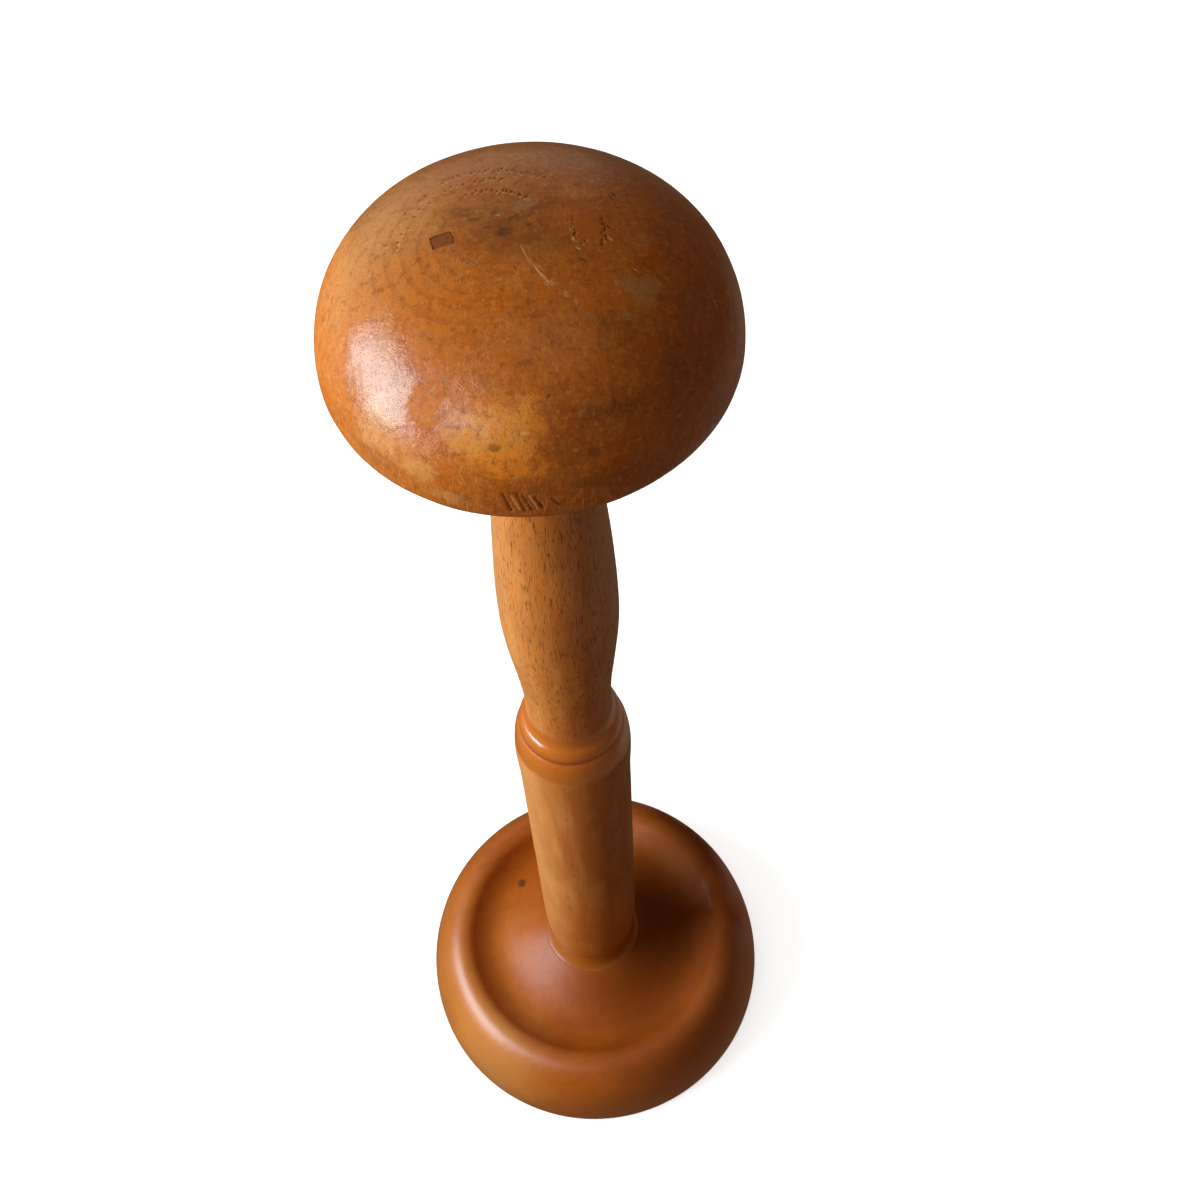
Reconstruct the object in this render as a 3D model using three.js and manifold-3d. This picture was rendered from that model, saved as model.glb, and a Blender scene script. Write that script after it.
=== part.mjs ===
// A turned wooden hat stand: a mushroom head on a slim spindle, over a round dished base.
// Every round piece is turned about the same vertical axis and glued up with round tenons.
// Millimetres, +Z up. The origin is the centre of the face that the stand rests on.

import * as THREE from 'three';
import { mergeVertices } from 'three/addons/utils/BufferGeometryUtils.js';
import Module from 'manifold-3d';

const wasm = await Module();
wasm.setup();

// Room left for glue in every joint, all round
const GLUE_GAP = 0.3;

// Base: a thick disc with a rounded rim and a dished top
const BASE_RADIUS = 70;
const BASE_WIDEST_HEIGHT = 3.5;
const BASE_FOOT_INSET = 2.5;
const ROLL_HEIGHT = 37.2;
const ROLL_CREST_RADIUS = 54.5;
const LIP_RADIUS = 51.2;
const LIP_HEIGHT = 36.3;
const STEP_DEPTH = 1.4;
const STEP_SLANT = 1.6;
const DISH_LOW_RADIUS = 42;
const DISH_LOW_HEIGHT = 31.8;
const DISH_SWEEP_OUT = 7;
const DISH_SWEEP_IN = 7.8;
const DISH_SWEEP_DROP = 4.1;
const BASE_SEAT_HEIGHT = 41;
const BASE_SEAT_BORDER = 0.1;
const UNDERSIDE_HOLLOW_RADIUS = 50;
const UNDERSIDE_HOLLOW_DEPTH = 1.5;
const UNDERSIDE_HOLLOW_SLANT = 1.5;

// Spindle, with heights measured up from its foot
const FLARE_RADIUS = 19.1;
const FLARE_HEIGHT = 9;
const FOOT_RADIUS = 16.2;
const FOOT_LENGTH = 36;
const SHAFT_RADIUS = 18.15;
const COLLAR_RADIUS = 18.5;
const COLLAR_HEIGHT = 177;
const COLLAR_SWELL = 16;
const SHOULDER_LENGTH = 28.5;
const GROOVE_DROP = 12.2;
const GROOVE_RADIUS = 15.7;
const LIP_DROP = 4.6;
const BEAD_HEIGHT = 5.1;
const BEAD_SWELL = 0.5;
const NECK_RADIUS = 13.1;
const NECK_LENGTH = 4;
const SWELL_RADIUS = 16.4;
const SWELL_RISE = 51.5;
const TOP_RADIUS = 11.8;
const TOP_RISE = 98;

// Round tenons at the two ends of the spindle
const FOOT_TENON_RADIUS = 9;
const FOOT_TENON_RECESS = 0.5;
const HEAD_TENON_RADIUS = 8.5;
const HEAD_TENON_LENGTH = 22;

// Wedges that spread the tenons in their holes
const WEDGE_THICK_END = 3.2;
const WEDGE_THIN_END = 1.2;
const FOOT_WEDGE_LENGTH = 22;
const HEAD_WEDGE_LENGTH = 15;

// Head: a mushroom, with heights measured up from its underside
const HEAD_RADIUS = 44.85;
const HEAD_WIDEST_HEIGHT = 9.6;
const HEAD_HEIGHT = 39.6;
const HEAD_SEAT_RADIUS = 14.1;
const DOME_FULLNESS = 0.665;

// Square pegs let into the crown, one each side of its centre
const PEG_DEPTH = 8;
const PEGS = [
  { name: 'left_crown_peg', x: -15.1, y: 1.2, width: 4.4, length: 3.5, turn: 8, color: 0x5a3318 },
  { name: 'right_crown_peg', x: 13.4, y: 0.5, width: 5.9, length: 7.4, turn: 2, color: 0x93561f },
];

// Fineness of the facets
const TURN_SEGMENTS = 48;
const CURVE_STEPS = 8;
const MERGE_DISTANCE = 1e-4;

// Handle length that makes a cubic curve a quarter of an ellipse
const QUARTER_ROUND = 0.5523;

// Heights that follow from the sizes above
const SPINDLE_FOOT = BASE_SEAT_HEIGHT + GLUE_GAP;
const CREASE_HEIGHT = COLLAR_HEIGHT + SHOULDER_LENGTH;
const SWELL_HEIGHT = CREASE_HEIGHT + NECK_LENGTH + SWELL_RISE;
const SPINDLE_LENGTH = SWELL_HEIGHT + TOP_RISE;
const HEAD_UNDERSIDE = SPINDLE_FOOT + SPINDLE_LENGTH + GLUE_GAP;
const FOOT_TENON_LENGTH = SPINDLE_FOOT - UNDERSIDE_HOLLOW_DEPTH - FOOT_TENON_RECESS;

// Joins the shared corners of a closed mesh, drops the faces that close up, and makes it a solid.
function toSolid(geometry) {
  geometry.deleteAttribute('normal');
  geometry.deleteAttribute('uv');
  const merged = mergeVertices(geometry, MERGE_DISTANCE);
  const corners = Array.from(merged.index.array);
  const kept = [];
  for (let i = 0; i < corners.length; i += 3) {
    const face = corners.slice(i, i + 3);
    if (new Set(face).size === 3) kept.push(...face);
  }
  return new wasm.Manifold(new wasm.Mesh({
    numProp: 3,
    vertProperties: merged.getAttribute('position').array,
    triVerts: Uint32Array.from(kept),
  }));
}

// A solid of revolution about Z. The outline holds radius and height, with the wood on its left.
function turned(outline) {
  const lathe = new THREE.LatheGeometry(outline.getPoints(CURVE_STEPS), TURN_SEGMENTS);
  return toSolid(lathe.rotateX(Math.PI / 2));
}

// A straight-sided block with its centre at x and y, between two heights, turned about Z.
function block(x, y, width, length, low, high, turn) {
  const box = new THREE.BoxGeometry(width, length, high - low);
  box.rotateZ(THREE.MathUtils.degToRad(turn));
  box.translate(x, y, (low + high) / 2);
  return toSolid(box);
}

// A wedge across the spindle, grown by some room on its faces and past its thin end. Its thick end
// is at the height given, and up is 1 where it points up and -1 where it points down.
function wedge(thickEnd, length, up, breadth, room) {
  const tip = thickEnd + up * (length + room);
  const side = new THREE.Shape();
  side.moveTo(-WEDGE_THICK_END / 2 - room, thickEnd);
  side.lineTo(WEDGE_THICK_END / 2 + room, thickEnd);
  side.lineTo(WEDGE_THIN_END / 2 + room, tip);
  side.lineTo(-WEDGE_THIN_END / 2 - room, tip);
  const plate = new THREE.ExtrudeGeometry(side, { depth: breadth, bevelEnabled: false });
  plate.translate(0, 0, -breadth / 2);
  return toSolid(plate.rotateX(Math.PI / 2));
}

// A plain cylinder about Z between two heights.
function cylinder(radius, low, high) {
  const outline = new THREE.Path();
  outline.moveTo(0, low);
  outline.lineTo(radius, low);
  outline.lineTo(radius, high);
  outline.lineTo(0, high);
  return turned(outline);
}

// A curve whose radius changes smoothly between two rings, upright at both.
function easeTo(outline, radius, height) {
  const start = outline.currentPoint.clone();
  const third = (height - start.y) / 3;
  outline.bezierCurveTo(start.x, start.y + third, radius, height - third, radius, height);
}

function baseSolid() {
  const bore = FOOT_TENON_RADIUS + GLUE_GAP;
  const seatEdge = FLARE_RADIUS + BASE_SEAT_BORDER;
  const stepRadius = LIP_RADIUS - STEP_SLANT;
  const footRadius = BASE_RADIUS - BASE_FOOT_INSET;
  const outline = new THREE.Path();
  outline.moveTo(bore, UNDERSIDE_HOLLOW_DEPTH);
  outline.lineTo(UNDERSIDE_HOLLOW_RADIUS, UNDERSIDE_HOLLOW_DEPTH);
  outline.lineTo(UNDERSIDE_HOLLOW_RADIUS + UNDERSIDE_HOLLOW_SLANT, 0);
  outline.lineTo(footRadius, 0);
  outline.quadraticCurveTo(BASE_RADIUS, 0, BASE_RADIUS, BASE_WIDEST_HEIGHT);
  outline.bezierCurveTo(
    BASE_RADIUS, BASE_WIDEST_HEIGHT + QUARTER_ROUND * (ROLL_HEIGHT - BASE_WIDEST_HEIGHT),
    ROLL_CREST_RADIUS + QUARTER_ROUND * (BASE_RADIUS - ROLL_CREST_RADIUS), ROLL_HEIGHT,
    ROLL_CREST_RADIUS, ROLL_HEIGHT,
  );
  outline.quadraticCurveTo((ROLL_CREST_RADIUS + LIP_RADIUS) / 2, ROLL_HEIGHT, LIP_RADIUS, LIP_HEIGHT);
  outline.lineTo(stepRadius, LIP_HEIGHT - STEP_DEPTH);
  outline.quadraticCurveTo(
    (stepRadius + DISH_LOW_RADIUS) / 2, DISH_LOW_HEIGHT,
    DISH_LOW_RADIUS, DISH_LOW_HEIGHT,
  );
  outline.bezierCurveTo(
    DISH_LOW_RADIUS - DISH_SWEEP_OUT, DISH_LOW_HEIGHT,
    seatEdge + DISH_SWEEP_IN, BASE_SEAT_HEIGHT - DISH_SWEEP_DROP,
    seatEdge, BASE_SEAT_HEIGHT,
  );
  outline.lineTo(bore, BASE_SEAT_HEIGHT);
  outline.lineTo(bore, UNDERSIDE_HOLLOW_DEPTH);
  return turned(outline);
}

// Follows the collar's rounded shoulder, which narrows from its widest ring to the neck, up to a height.
function followShoulder(outline, high) {
  for (let step = 1; step <= CURVE_STEPS; step += 1) {
    const height = COLLAR_HEIGHT + (high - COLLAR_HEIGHT) * step / CURVE_STEPS;
    const rise = (height - COLLAR_HEIGHT) / SHOULDER_LENGTH;
    outline.lineTo(COLLAR_RADIUS - (COLLAR_RADIUS - NECK_RADIUS) * rise * rise, height);
  }
}

// Draws the soft groove that parts the collar, with a rounded lip below it and a bead above.
function followGroove(outline, groove) {
  const radius = GROOVE_RADIUS;
  const beadTop = groove + BEAD_HEIGHT;
  outline.bezierCurveTo(
    radius + 1.4, groove - 2.8, radius + 1.35, groove - 1.5, radius + 0.25, groove - 0.65,
  );
  outline.quadraticCurveTo(radius - 0.1, groove - 0.3, radius, groove + 0.3);
  outline.bezierCurveTo(
    radius + BEAD_SWELL + 0.1, groove + 0.3 * BEAD_HEIGHT,
    radius + BEAD_SWELL, groove + 0.8 * BEAD_HEIGHT,
    radius - 1.1, beadTop,
  );
  outline.quadraticCurveTo(radius - 1.55, beadTop + 0.3, radius - 1.6, beadTop + 1.9);
}

function spindleSolid() {
  const groove = CREASE_HEIGHT - GROOVE_DROP;
  const outline = new THREE.Path();
  outline.moveTo(0, -FOOT_TENON_LENGTH);
  outline.lineTo(FOOT_TENON_RADIUS, -FOOT_TENON_LENGTH);
  outline.lineTo(FOOT_TENON_RADIUS, 0);
  outline.lineTo(FLARE_RADIUS, 0);
  outline.bezierCurveTo(FLARE_RADIUS - 1.9, 1, FOOT_RADIUS, 3.2, FOOT_RADIUS, FLARE_HEIGHT);
  outline.quadraticCurveTo(SHAFT_RADIUS, FOOT_LENGTH / 2, SHAFT_RADIUS, FOOT_LENGTH);
  outline.lineTo(SHAFT_RADIUS, COLLAR_HEIGHT - COLLAR_SWELL);
  easeTo(outline, COLLAR_RADIUS, COLLAR_HEIGHT);
  followShoulder(outline, groove - LIP_DROP);
  followGroove(outline, groove);
  outline.quadraticCurveTo(
    NECK_RADIUS, groove + BEAD_HEIGHT + 6.8,
    NECK_RADIUS, CREASE_HEIGHT + NECK_LENGTH,
  );
  easeTo(outline, SWELL_RADIUS, SWELL_HEIGHT);
  easeTo(outline, TOP_RADIUS, SPINDLE_LENGTH);
  outline.lineTo(HEAD_TENON_RADIUS, SPINDLE_LENGTH);
  outline.lineTo(HEAD_TENON_RADIUS, SPINDLE_LENGTH + HEAD_TENON_LENGTH);
  outline.lineTo(0, SPINDLE_LENGTH + HEAD_TENON_LENGTH);
  return turned(outline);
}

function headSolid() {
  const socketRadius = HEAD_TENON_RADIUS + GLUE_GAP;
  const socketTop = HEAD_TENON_LENGTH + GLUE_GAP;
  const domeRise = HEAD_HEIGHT - HEAD_WIDEST_HEIGHT;
  const outline = new THREE.Path();
  outline.moveTo(0, socketTop);
  outline.lineTo(socketRadius, socketTop);
  outline.lineTo(socketRadius, 0);
  outline.lineTo(HEAD_SEAT_RADIUS, 0);
  outline.bezierCurveTo(
    HEAD_SEAT_RADIUS + QUARTER_ROUND * (HEAD_RADIUS - HEAD_SEAT_RADIUS), 0,
    HEAD_RADIUS, HEAD_WIDEST_HEIGHT * (1 - QUARTER_ROUND),
    HEAD_RADIUS, HEAD_WIDEST_HEIGHT,
  );
  outline.bezierCurveTo(
    HEAD_RADIUS, HEAD_WIDEST_HEIGHT + DOME_FULLNESS * domeRise,
    DOME_FULLNESS * HEAD_RADIUS, HEAD_HEIGHT,
    0, HEAD_HEIGHT,
  );
  return turned(outline);
}

// A mesh in the stand's scene graph, with the colour and gloss of its wood.
function piece(name, solid, color, roughness) {
  const { vertProperties, triVerts } = solid.getMesh();
  const geometry = new THREE.BufferGeometry();
  geometry.setAttribute('position', new THREE.BufferAttribute(vertProperties, 3));
  geometry.setIndex(new THREE.BufferAttribute(triVerts, 1));
  geometry.computeVertexNormals();
  const material = new THREE.MeshStandardMaterial({ color, roughness, metalness: 0 });
  const mesh = new THREE.Mesh(geometry, material);
  mesh.name = name;
  return mesh;
}

function buildSpindle() {
  const footEnd = -FOOT_TENON_LENGTH;
  const headEnd = SPINDLE_LENGTH + HEAD_TENON_LENGTH;
  const across = 3 * Math.max(FOOT_TENON_RADIUS, HEAD_TENON_RADIUS);
  const footRound = cylinder(FOOT_TENON_RADIUS, footEnd, 0);
  const headRound = cylinder(HEAD_TENON_RADIUS, SPINDLE_LENGTH, headEnd);
  const spindle = spindleSolid()
    .subtract(wedge(footEnd, FOOT_WEDGE_LENGTH, 1, across, GLUE_GAP))
    .subtract(wedge(headEnd, HEAD_WEDGE_LENGTH, -1, across, GLUE_GAP));
  const footWedge = wedge(footEnd, FOOT_WEDGE_LENGTH, 1, across, 0).intersect(footRound);
  const headWedge = wedge(headEnd, HEAD_WEDGE_LENGTH, -1, across, 0).intersect(headRound);
  const group = new THREE.Group();
  group.add(
    piece('column', spindle, 0xa86f38, 0.55),
    piece('base_wedge', footWedge, 0xb98b57, 0.7),
    piece('head_wedge', headWedge, 0xb98b57, 0.7),
  );
  group.position.z = SPINDLE_FOOT;
  return group;
}

function buildHead() {
  const blank = headSolid();
  const pegTop = HEAD_HEIGHT + PEG_DEPTH;
  const group = new THREE.Group();
  let head = blank;
  for (const { name, x, y, width, length, turn, color } of PEGS) {
    const crown = HEAD_HEIGHT - PEG_DEPTH;
    const hole = block(x, y, width, length, crown, pegTop, turn);
    const peg = block(
      x, y, width - 2 * GLUE_GAP, length - 2 * GLUE_GAP, crown + GLUE_GAP, pegTop, turn,
    );
    head = head.subtract(hole);
    group.add(piece(name, peg.intersect(blank), color, 0.6));
  }
  group.add(piece('head', head, 0xa4642b, 0.38));
  group.position.z = HEAD_UNDERSIDE;
  return group;
}

const group = new THREE.Group();
group.add(piece('base', baseSolid(), 0x96561f, 0.35), buildSpindle(), buildHead());

export default group;
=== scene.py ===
"""The looks of a turned wooden hat stand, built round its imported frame.

A mushroom head sits on a slim collared spindle over a thick dished base, all turned from fruitwood and
finished with shellac that many years of handling have worn.
Sizes are in millimetres up to the point where a mesh is made, which is in metres, as the studio is.
+Z is up along the turning axis, the photograph looks along +Y, and +X is to its right.
"""

import logging
import math
import random
from collections.abc import Callable, Sequence
from dataclasses import dataclass, field
from enum import Enum
from functools import cached_property, partial

import bpy
from mathutils import Matrix, Vector


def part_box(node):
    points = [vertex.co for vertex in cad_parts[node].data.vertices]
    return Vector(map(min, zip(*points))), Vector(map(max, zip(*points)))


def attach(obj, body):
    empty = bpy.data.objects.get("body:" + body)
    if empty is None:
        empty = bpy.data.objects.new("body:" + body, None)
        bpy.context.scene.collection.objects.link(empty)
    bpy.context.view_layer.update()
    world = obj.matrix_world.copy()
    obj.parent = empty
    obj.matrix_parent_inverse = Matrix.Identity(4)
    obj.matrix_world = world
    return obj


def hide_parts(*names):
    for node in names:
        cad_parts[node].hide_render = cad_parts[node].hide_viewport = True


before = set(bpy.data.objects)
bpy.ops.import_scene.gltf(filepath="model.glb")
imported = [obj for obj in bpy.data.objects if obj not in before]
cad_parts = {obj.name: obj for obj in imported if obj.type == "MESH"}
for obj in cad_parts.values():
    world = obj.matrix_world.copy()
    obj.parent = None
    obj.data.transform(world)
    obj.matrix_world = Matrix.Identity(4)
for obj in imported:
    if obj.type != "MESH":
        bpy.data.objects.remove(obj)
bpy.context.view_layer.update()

LOG = logging.getLogger("hat_stand")
MM = 0.001
BODY = "root"

# Handle length that makes a cubic curve a quarter of an ellipse
QUARTER_ROUND = 0.5523

# No shift and no turn
NOWHERE = (0.0, 0.0, 0.0)

# Distance below which two places are one
SAME = 1e-6

# Room that glue fills in every joint, in millimetres
GLUE_GAP = 0.3

Point = tuple[float, float, float]

# A radius and a height, or X and Y
Pair = tuple[float, float]
Gap = Callable[[float, float], float]
Socket = bpy.types.NodeSocket
Thing = bpy.types.Object
Material = bpy.types.Material


class Tone(Enum):
    """What fills a dent: dirt and old polish, nothing, or pale bare wood."""

    DIRTY = -1.0
    CLEAN = 0.0
    BARE = 1.0


def linear(code: str) -> tuple[float, float, float, float]:
    """Turns an sRGB hex colour into linear light.

    Args:
        code: The colour, such as "#a86f38".

    Returns:
        Red, green, blue and an alpha of 1.
    """
    channels = [int(code[i : i + 2], 16) / 255 for i in (1, 3, 5)]
    red, green, blue = (c / 12.92 if c <= 0.04045 else ((c + 0.055) / 1.055) ** 2.4 for c in channels)
    return red, green, blue, 1.0


def around(radius: float, angle: float) -> Pair:
    """Gives X and Y at a radius and an angle in radians."""
    return radius * math.cos(angle), radius * math.sin(angle)


def add_node(
    tree: bpy.types.NodeTree, kind: str, feeds: dict[str | int, object] | None = None, **settings: object
) -> Socket | None:
    """Adds a node to a tree, sets it up and feeds its inputs.

    Args:
        tree: The tree that the node joins.
        kind: The node's type in Blender.
        feeds: A socket to link from, or a value, for each input named by its label or its place in the list.
        **settings: Properties of the node.

    Returns:
        The node's first output in use, or None where it has none. The node itself is that socket's node.
    """
    node = tree.nodes.new(kind)
    for name, value in settings.items():
        setattr(node, name, value)
    live = [socket for socket in node.inputs if socket.enabled]
    for key, value in (feeds or {}).items():
        socket = live[key] if isinstance(key, int) else next(s for s in live if s.name == key)
        if isinstance(value, Socket):
            tree.links.new(value, socket)
        else:
            socket.default_value = value
    return next((socket for socket in node.outputs if socket.enabled), None)


class Outline:
    """Half the outline of a turned piece: radii and heights in millimetres, with the wood on its left."""

    FINE_STEPS = 240
    WORN_STEPS = 4

    def __init__(self, radius: float, height: float) -> None:
        """Starts the outline at a radius and height."""
        self.runs: list[tuple[list[Vector], float]] = []
        self.end = Vector((radius, height))

    def along(self, rule: Callable[[float], Vector], worn: float = 0.0) -> "Outline":
        """Follows a rule from the outline's end.

        Args:
            rule: Gives a point for each share of the way, from 0 to 1.
            worn: How far the corner at the run's end is worn back, in millimetres.

        Returns:
            The outline itself.
        """
        points = [rule(step / self.FINE_STEPS) for step in range(self.FINE_STEPS + 1)]
        self.runs.append((points, worn))
        self.end = points[-1]
        return self

    def line(self, radius: float, height: float, worn: float = 0.0) -> "Outline":
        """Runs straight to a radius and height, where the corner may be worn."""
        start, end = self.end, Vector((radius, height))
        return self.along(lambda t: start.lerp(end, t), worn)

    def curve(self, first: Pair, second: Pair, end: Pair) -> "Outline":
        """Runs along a cubic curve with two handles."""
        a, b, c, d = self.end, Vector(first), Vector(second), Vector(end)
        return self.along(
            lambda t: a * (1 - t) ** 3 + b * 3 * t * (1 - t) ** 2 + c * 3 * t * t * (1 - t) + d * t**3
        )

    def bend(self, handle: Pair, end: Pair, worn: float = 0.0) -> "Outline":
        """Runs along a curve with one handle, where the corner may be worn."""
        a, b, c = self.end, Vector(handle), Vector(end)
        return self.along(lambda t: a * (1 - t) ** 2 + b * 2 * t * (1 - t) + c * t * t, worn)

    def ease(self, radius: float, height: float) -> "Outline":
        """Changes the radius smoothly up to a height, upright at both ends."""
        third = (height - self.end.y) / 3
        return self.curve((self.end.x, self.end.y + third), (radius, height - third), (radius, height))

    def rows(self, gap: Gap) -> list[Vector]:
        """Spaces rings along the outline and rounds its worn corners.

        Args:
            gap: Gives the distance between rings at a radius and height, in millimetres.

        Returns:
            The radius and height of each ring, in order.
        """
        rings: list[Vector] = []
        worn_before = 0.0
        for number, (points, worn) in enumerate(self.runs):
            kept = self.trimmed(points, worn_before, worn)
            rings += self.spaced(kept, gap)
            if worn:
                corner, after = points[-1], self.trimmed(self.runs[number + 1][0], worn, 0.0)[0]
                for step in range(1, self.WORN_STEPS):
                    t = step / self.WORN_STEPS
                    rings.append(rings[-step] * (1 - t) ** 2 + corner * 2 * t * (1 - t) + after * t * t)
            worn_before = worn
        return [ring for i, ring in enumerate(rings) if i == 0 or (ring - rings[i - 1]).length > SAME]

    @staticmethod
    def shortened(run: list[Vector], length: float) -> list[Vector]:
        """Cuts a length off the start of a run of points.

        Args:
            run: The points.
            length: How much is cut off, in millimetres.

        Returns:
            The points that are left.
        """
        for i in range(len(run) - 1):
            step = (run[i + 1] - run[i]).length
            if step > length:
                return [run[i].lerp(run[i + 1], length / step), *run[i + 1 :]]
            length -= step
        return run[-1:]

    @classmethod
    def trimmed(cls, points: list[Vector], start: float, end: float) -> list[Vector]:
        """Cuts a length off each end of a run of points."""
        return cls.shortened(cls.shortened(points, start)[::-1], end)[::-1]

    @staticmethod
    def spaced(points: list[Vector], gap: Gap) -> list[Vector]:
        """Spreads rings over a run of points, as many as the gap asks for.

        Args:
            points: The run, whose two ends are kept.
            gap: Gives the distance between rings at a radius and height, in millimetres.

        Returns:
            The radius and height of each ring.
        """
        reach = [0.0]
        for a, b in zip(points, points[1:]):
            reach.append(reach[-1] + (b - a).length / gap(a.x, a.y))
        count = max(1, round(reach[-1]))
        rings, i = [points[0]], 0
        for step in range(1, count):
            wanted = reach[-1] * step / count
            while reach[i + 1] < wanted:
                i += 1
            rings.append(points[i].lerp(points[i + 1], (wanted - reach[i]) / (reach[i + 1] - reach[i])))
        return [*rings, points[-1]]


@dataclass(frozen=True)
class Dent:
    """A nick, groove or pit: a path over the wood that is pressed in, deepest along its middle."""

    path: tuple[Point, ...]
    half_width: float
    depth: float
    tone: Tone = Tone.DIRTY


def edge_mesh(name: str, dents: Sequence[Dent]) -> Thing:
    """Makes loose edges along the dents, each with its half width, depth and tone.

    Args:
        name: Name of the object.
        dents: The dents, in millimetres.

    Returns:
        An object that isn't linked to the scene.
    """
    points: list[Vector] = []
    edges: list[tuple[int, int]] = []
    facts: dict[str, list[float]] = {"half_width": [], "depth": [], "tone": []}
    for dent in dents:
        for i, place in enumerate(dent.path):
            points.append(Vector(place) * MM)
            if i:
                edges.append((len(points) - 2, len(points) - 1))
                facts["half_width"].append(dent.half_width * MM)
                facts["depth"].append(dent.depth * MM)
                facts["tone"].append(dent.tone.value)
    mesh = bpy.data.meshes.new(name)
    mesh.from_pydata(points, edges, [])
    for fact, values in facts.items():
        mesh.attributes.new(fact, "FLOAT", "EDGE").data.foreach_set("value", values)
    return bpy.data.objects.new(name, mesh)


class TurningTree:
    """Geometry nodes that turn an outline into wood, let it wander a little, dent it and cut it."""

    INPUTS = (
        ("Outline", "NodeSocketGeometry", None),
        ("Segments", "NodeSocketInt", 256),
        ("Crowding", "NodeSocketFloat", 0.0),
        ("Wander", "NodeSocketFloat", 0.0),
        ("Wander Size", "NodeSocketFloat", 0.02),
        ("Flat Below", "NodeSocketFloat", -1.0),
        ("Seed", "NodeSocketFloat", 0.0),
        ("Dents", "NodeSocketObject", None),
        ("Cutters", "NodeSocketObject", None),
        ("Crease Angle", "NodeSocketFloat", math.radians(32)),
        ("Wood", "NodeSocketMaterial", None),
    )
    FRONT = -math.pi / 2
    WELD = 5e-7

    def __init__(self) -> None:
        """Builds the node tree once, for every turned piece."""
        self.tree = bpy.data.node_groups.new("turned_wood", "GeometryNodeTree")
        self.add = partial(add_node, self.tree)
        for name, kind, value in self.INPUTS:
            socket = self.tree.interface.new_socket(name, in_out="INPUT", socket_type=kind)
            if value is not None:
                socket.default_value = value
        self.tree.interface.new_socket("Wood", in_out="OUTPUT", socket_type="NodeSocketGeometry")
        self.given = self.tree.nodes.new("NodeGroupInput").outputs
        self.finished(self.cut(self.dented(self.wandered(self.spun()))))

    def spun(self) -> Socket:
        """Wraps a grid round the axis, one column for each segment and one row for each ring.

        Returns:
            The closed blank.
        """
        rings = self.add("GeometryNodeAttributeDomainSize", {"Geometry": self.given["Outline"]})
        columns = self.add("ShaderNodeMath", {0: self.given["Segments"], 1: 1.0}, operation="ADD")
        grid = self.add("GeometryNodeMeshGrid", {"Vertices X": columns, "Vertices Y": rings})
        index = self.add("GeometryNodeInputIndex")
        row = self.add("ShaderNodeMath", {0: index, 1: rings}, operation="FLOORED_MODULO")
        share = self.add("ShaderNodeMath", {0: index, 1: rings}, operation="DIVIDE")
        column = self.add("ShaderNodeMath", {0: share}, operation="FLOOR")
        turn = self.add("ShaderNodeMath", {0: column, 1: self.given["Segments"]}, operation="DIVIDE")
        even = self.add("ShaderNodeMath", {0: turn, 1: math.tau}, operation="MULTIPLY")
        swing = self.add("ShaderNodeMath", {0: even}, operation="SINE")
        crowd = self.add("ShaderNodeMath", {0: swing, 1: self.given["Crowding"]}, operation="MULTIPLY")
        eased = self.add("ShaderNodeMath", {0: even, 1: crowd}, operation="SUBTRACT")
        angle = self.add("ShaderNodeMath", {0: eased, 1: self.FRONT}, operation="ADD")
        place = self.add("GeometryNodeInputPosition")
        ring = self.add(
            "GeometryNodeSampleIndex", {"Geometry": self.given["Outline"], "Value": place, "Index": row},
            data_type="FLOAT_VECTOR", domain="POINT",
        )
        radius = self.add("ShaderNodeSeparateXYZ", {0: ring})
        cosine = self.add("ShaderNodeMath", {0: angle}, operation="COSINE")
        sine = self.add("ShaderNodeMath", {0: angle}, operation="SINE")
        x = self.add("ShaderNodeMath", {0: radius, 1: cosine}, operation="MULTIPLY")
        y = self.add("ShaderNodeMath", {0: radius, 1: sine}, operation="MULTIPLY")
        wrapped = self.add("ShaderNodeCombineXYZ", {0: x, 1: y, 2: radius.node.outputs["Z"]})
        moved = self.add("GeometryNodeSetPosition", {"Geometry": grid, "Position": wrapped})
        return self.add("GeometryNodeMergeByDistance", {"Geometry": moved, "Distance": self.WELD})

    def wandered(self, blank: Socket) -> Socket:
        """Moves the surface in and out a little, as hand work does, but leaves a flat foot alone.

        Args:
            blank: The smooth blank.

        Returns:
            The surface with its small unevenness.
        """
        place = self.add("GeometryNodeInputPosition")
        pitch = self.add("ShaderNodeMath", {0: 1.0, 1: self.given["Wander Size"]}, operation="DIVIDE")
        noise = self.add(
            "ShaderNodeTexNoise", {"Vector": place, "W": self.given["Seed"], "Scale": pitch, "Detail": 1.0},
            noise_dimensions="4D",
        )
        middle = self.add("ShaderNodeMath", {0: noise, 1: 0.5}, operation="SUBTRACT")
        amount = self.add("ShaderNodeMath", {0: middle, 1: self.given["Wander"]}, operation="MULTIPLY")
        height = self.add("ShaderNodeSeparateXYZ", {0: place}).node.outputs["Z"]
        above = self.add("ShaderNodeMath", {0: height, 1: self.given["Flat Below"]}, operation="SUBTRACT")
        ease = self.add(
            "ShaderNodeMapRange", {"Value": above, "From Max": 2 * MM}, interpolation_type="SMOOTHSTEP"
        )
        held = self.add("ShaderNodeMath", {0: amount, 1: ease}, operation="MULTIPLY")
        normal = self.add("GeometryNodeInputNormal")
        offset = self.add("ShaderNodeVectorMath", {0: normal, "Scale": held}, operation="SCALE")
        return self.add("GeometryNodeSetPosition", {"Geometry": blank, "Offset": offset})

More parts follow.
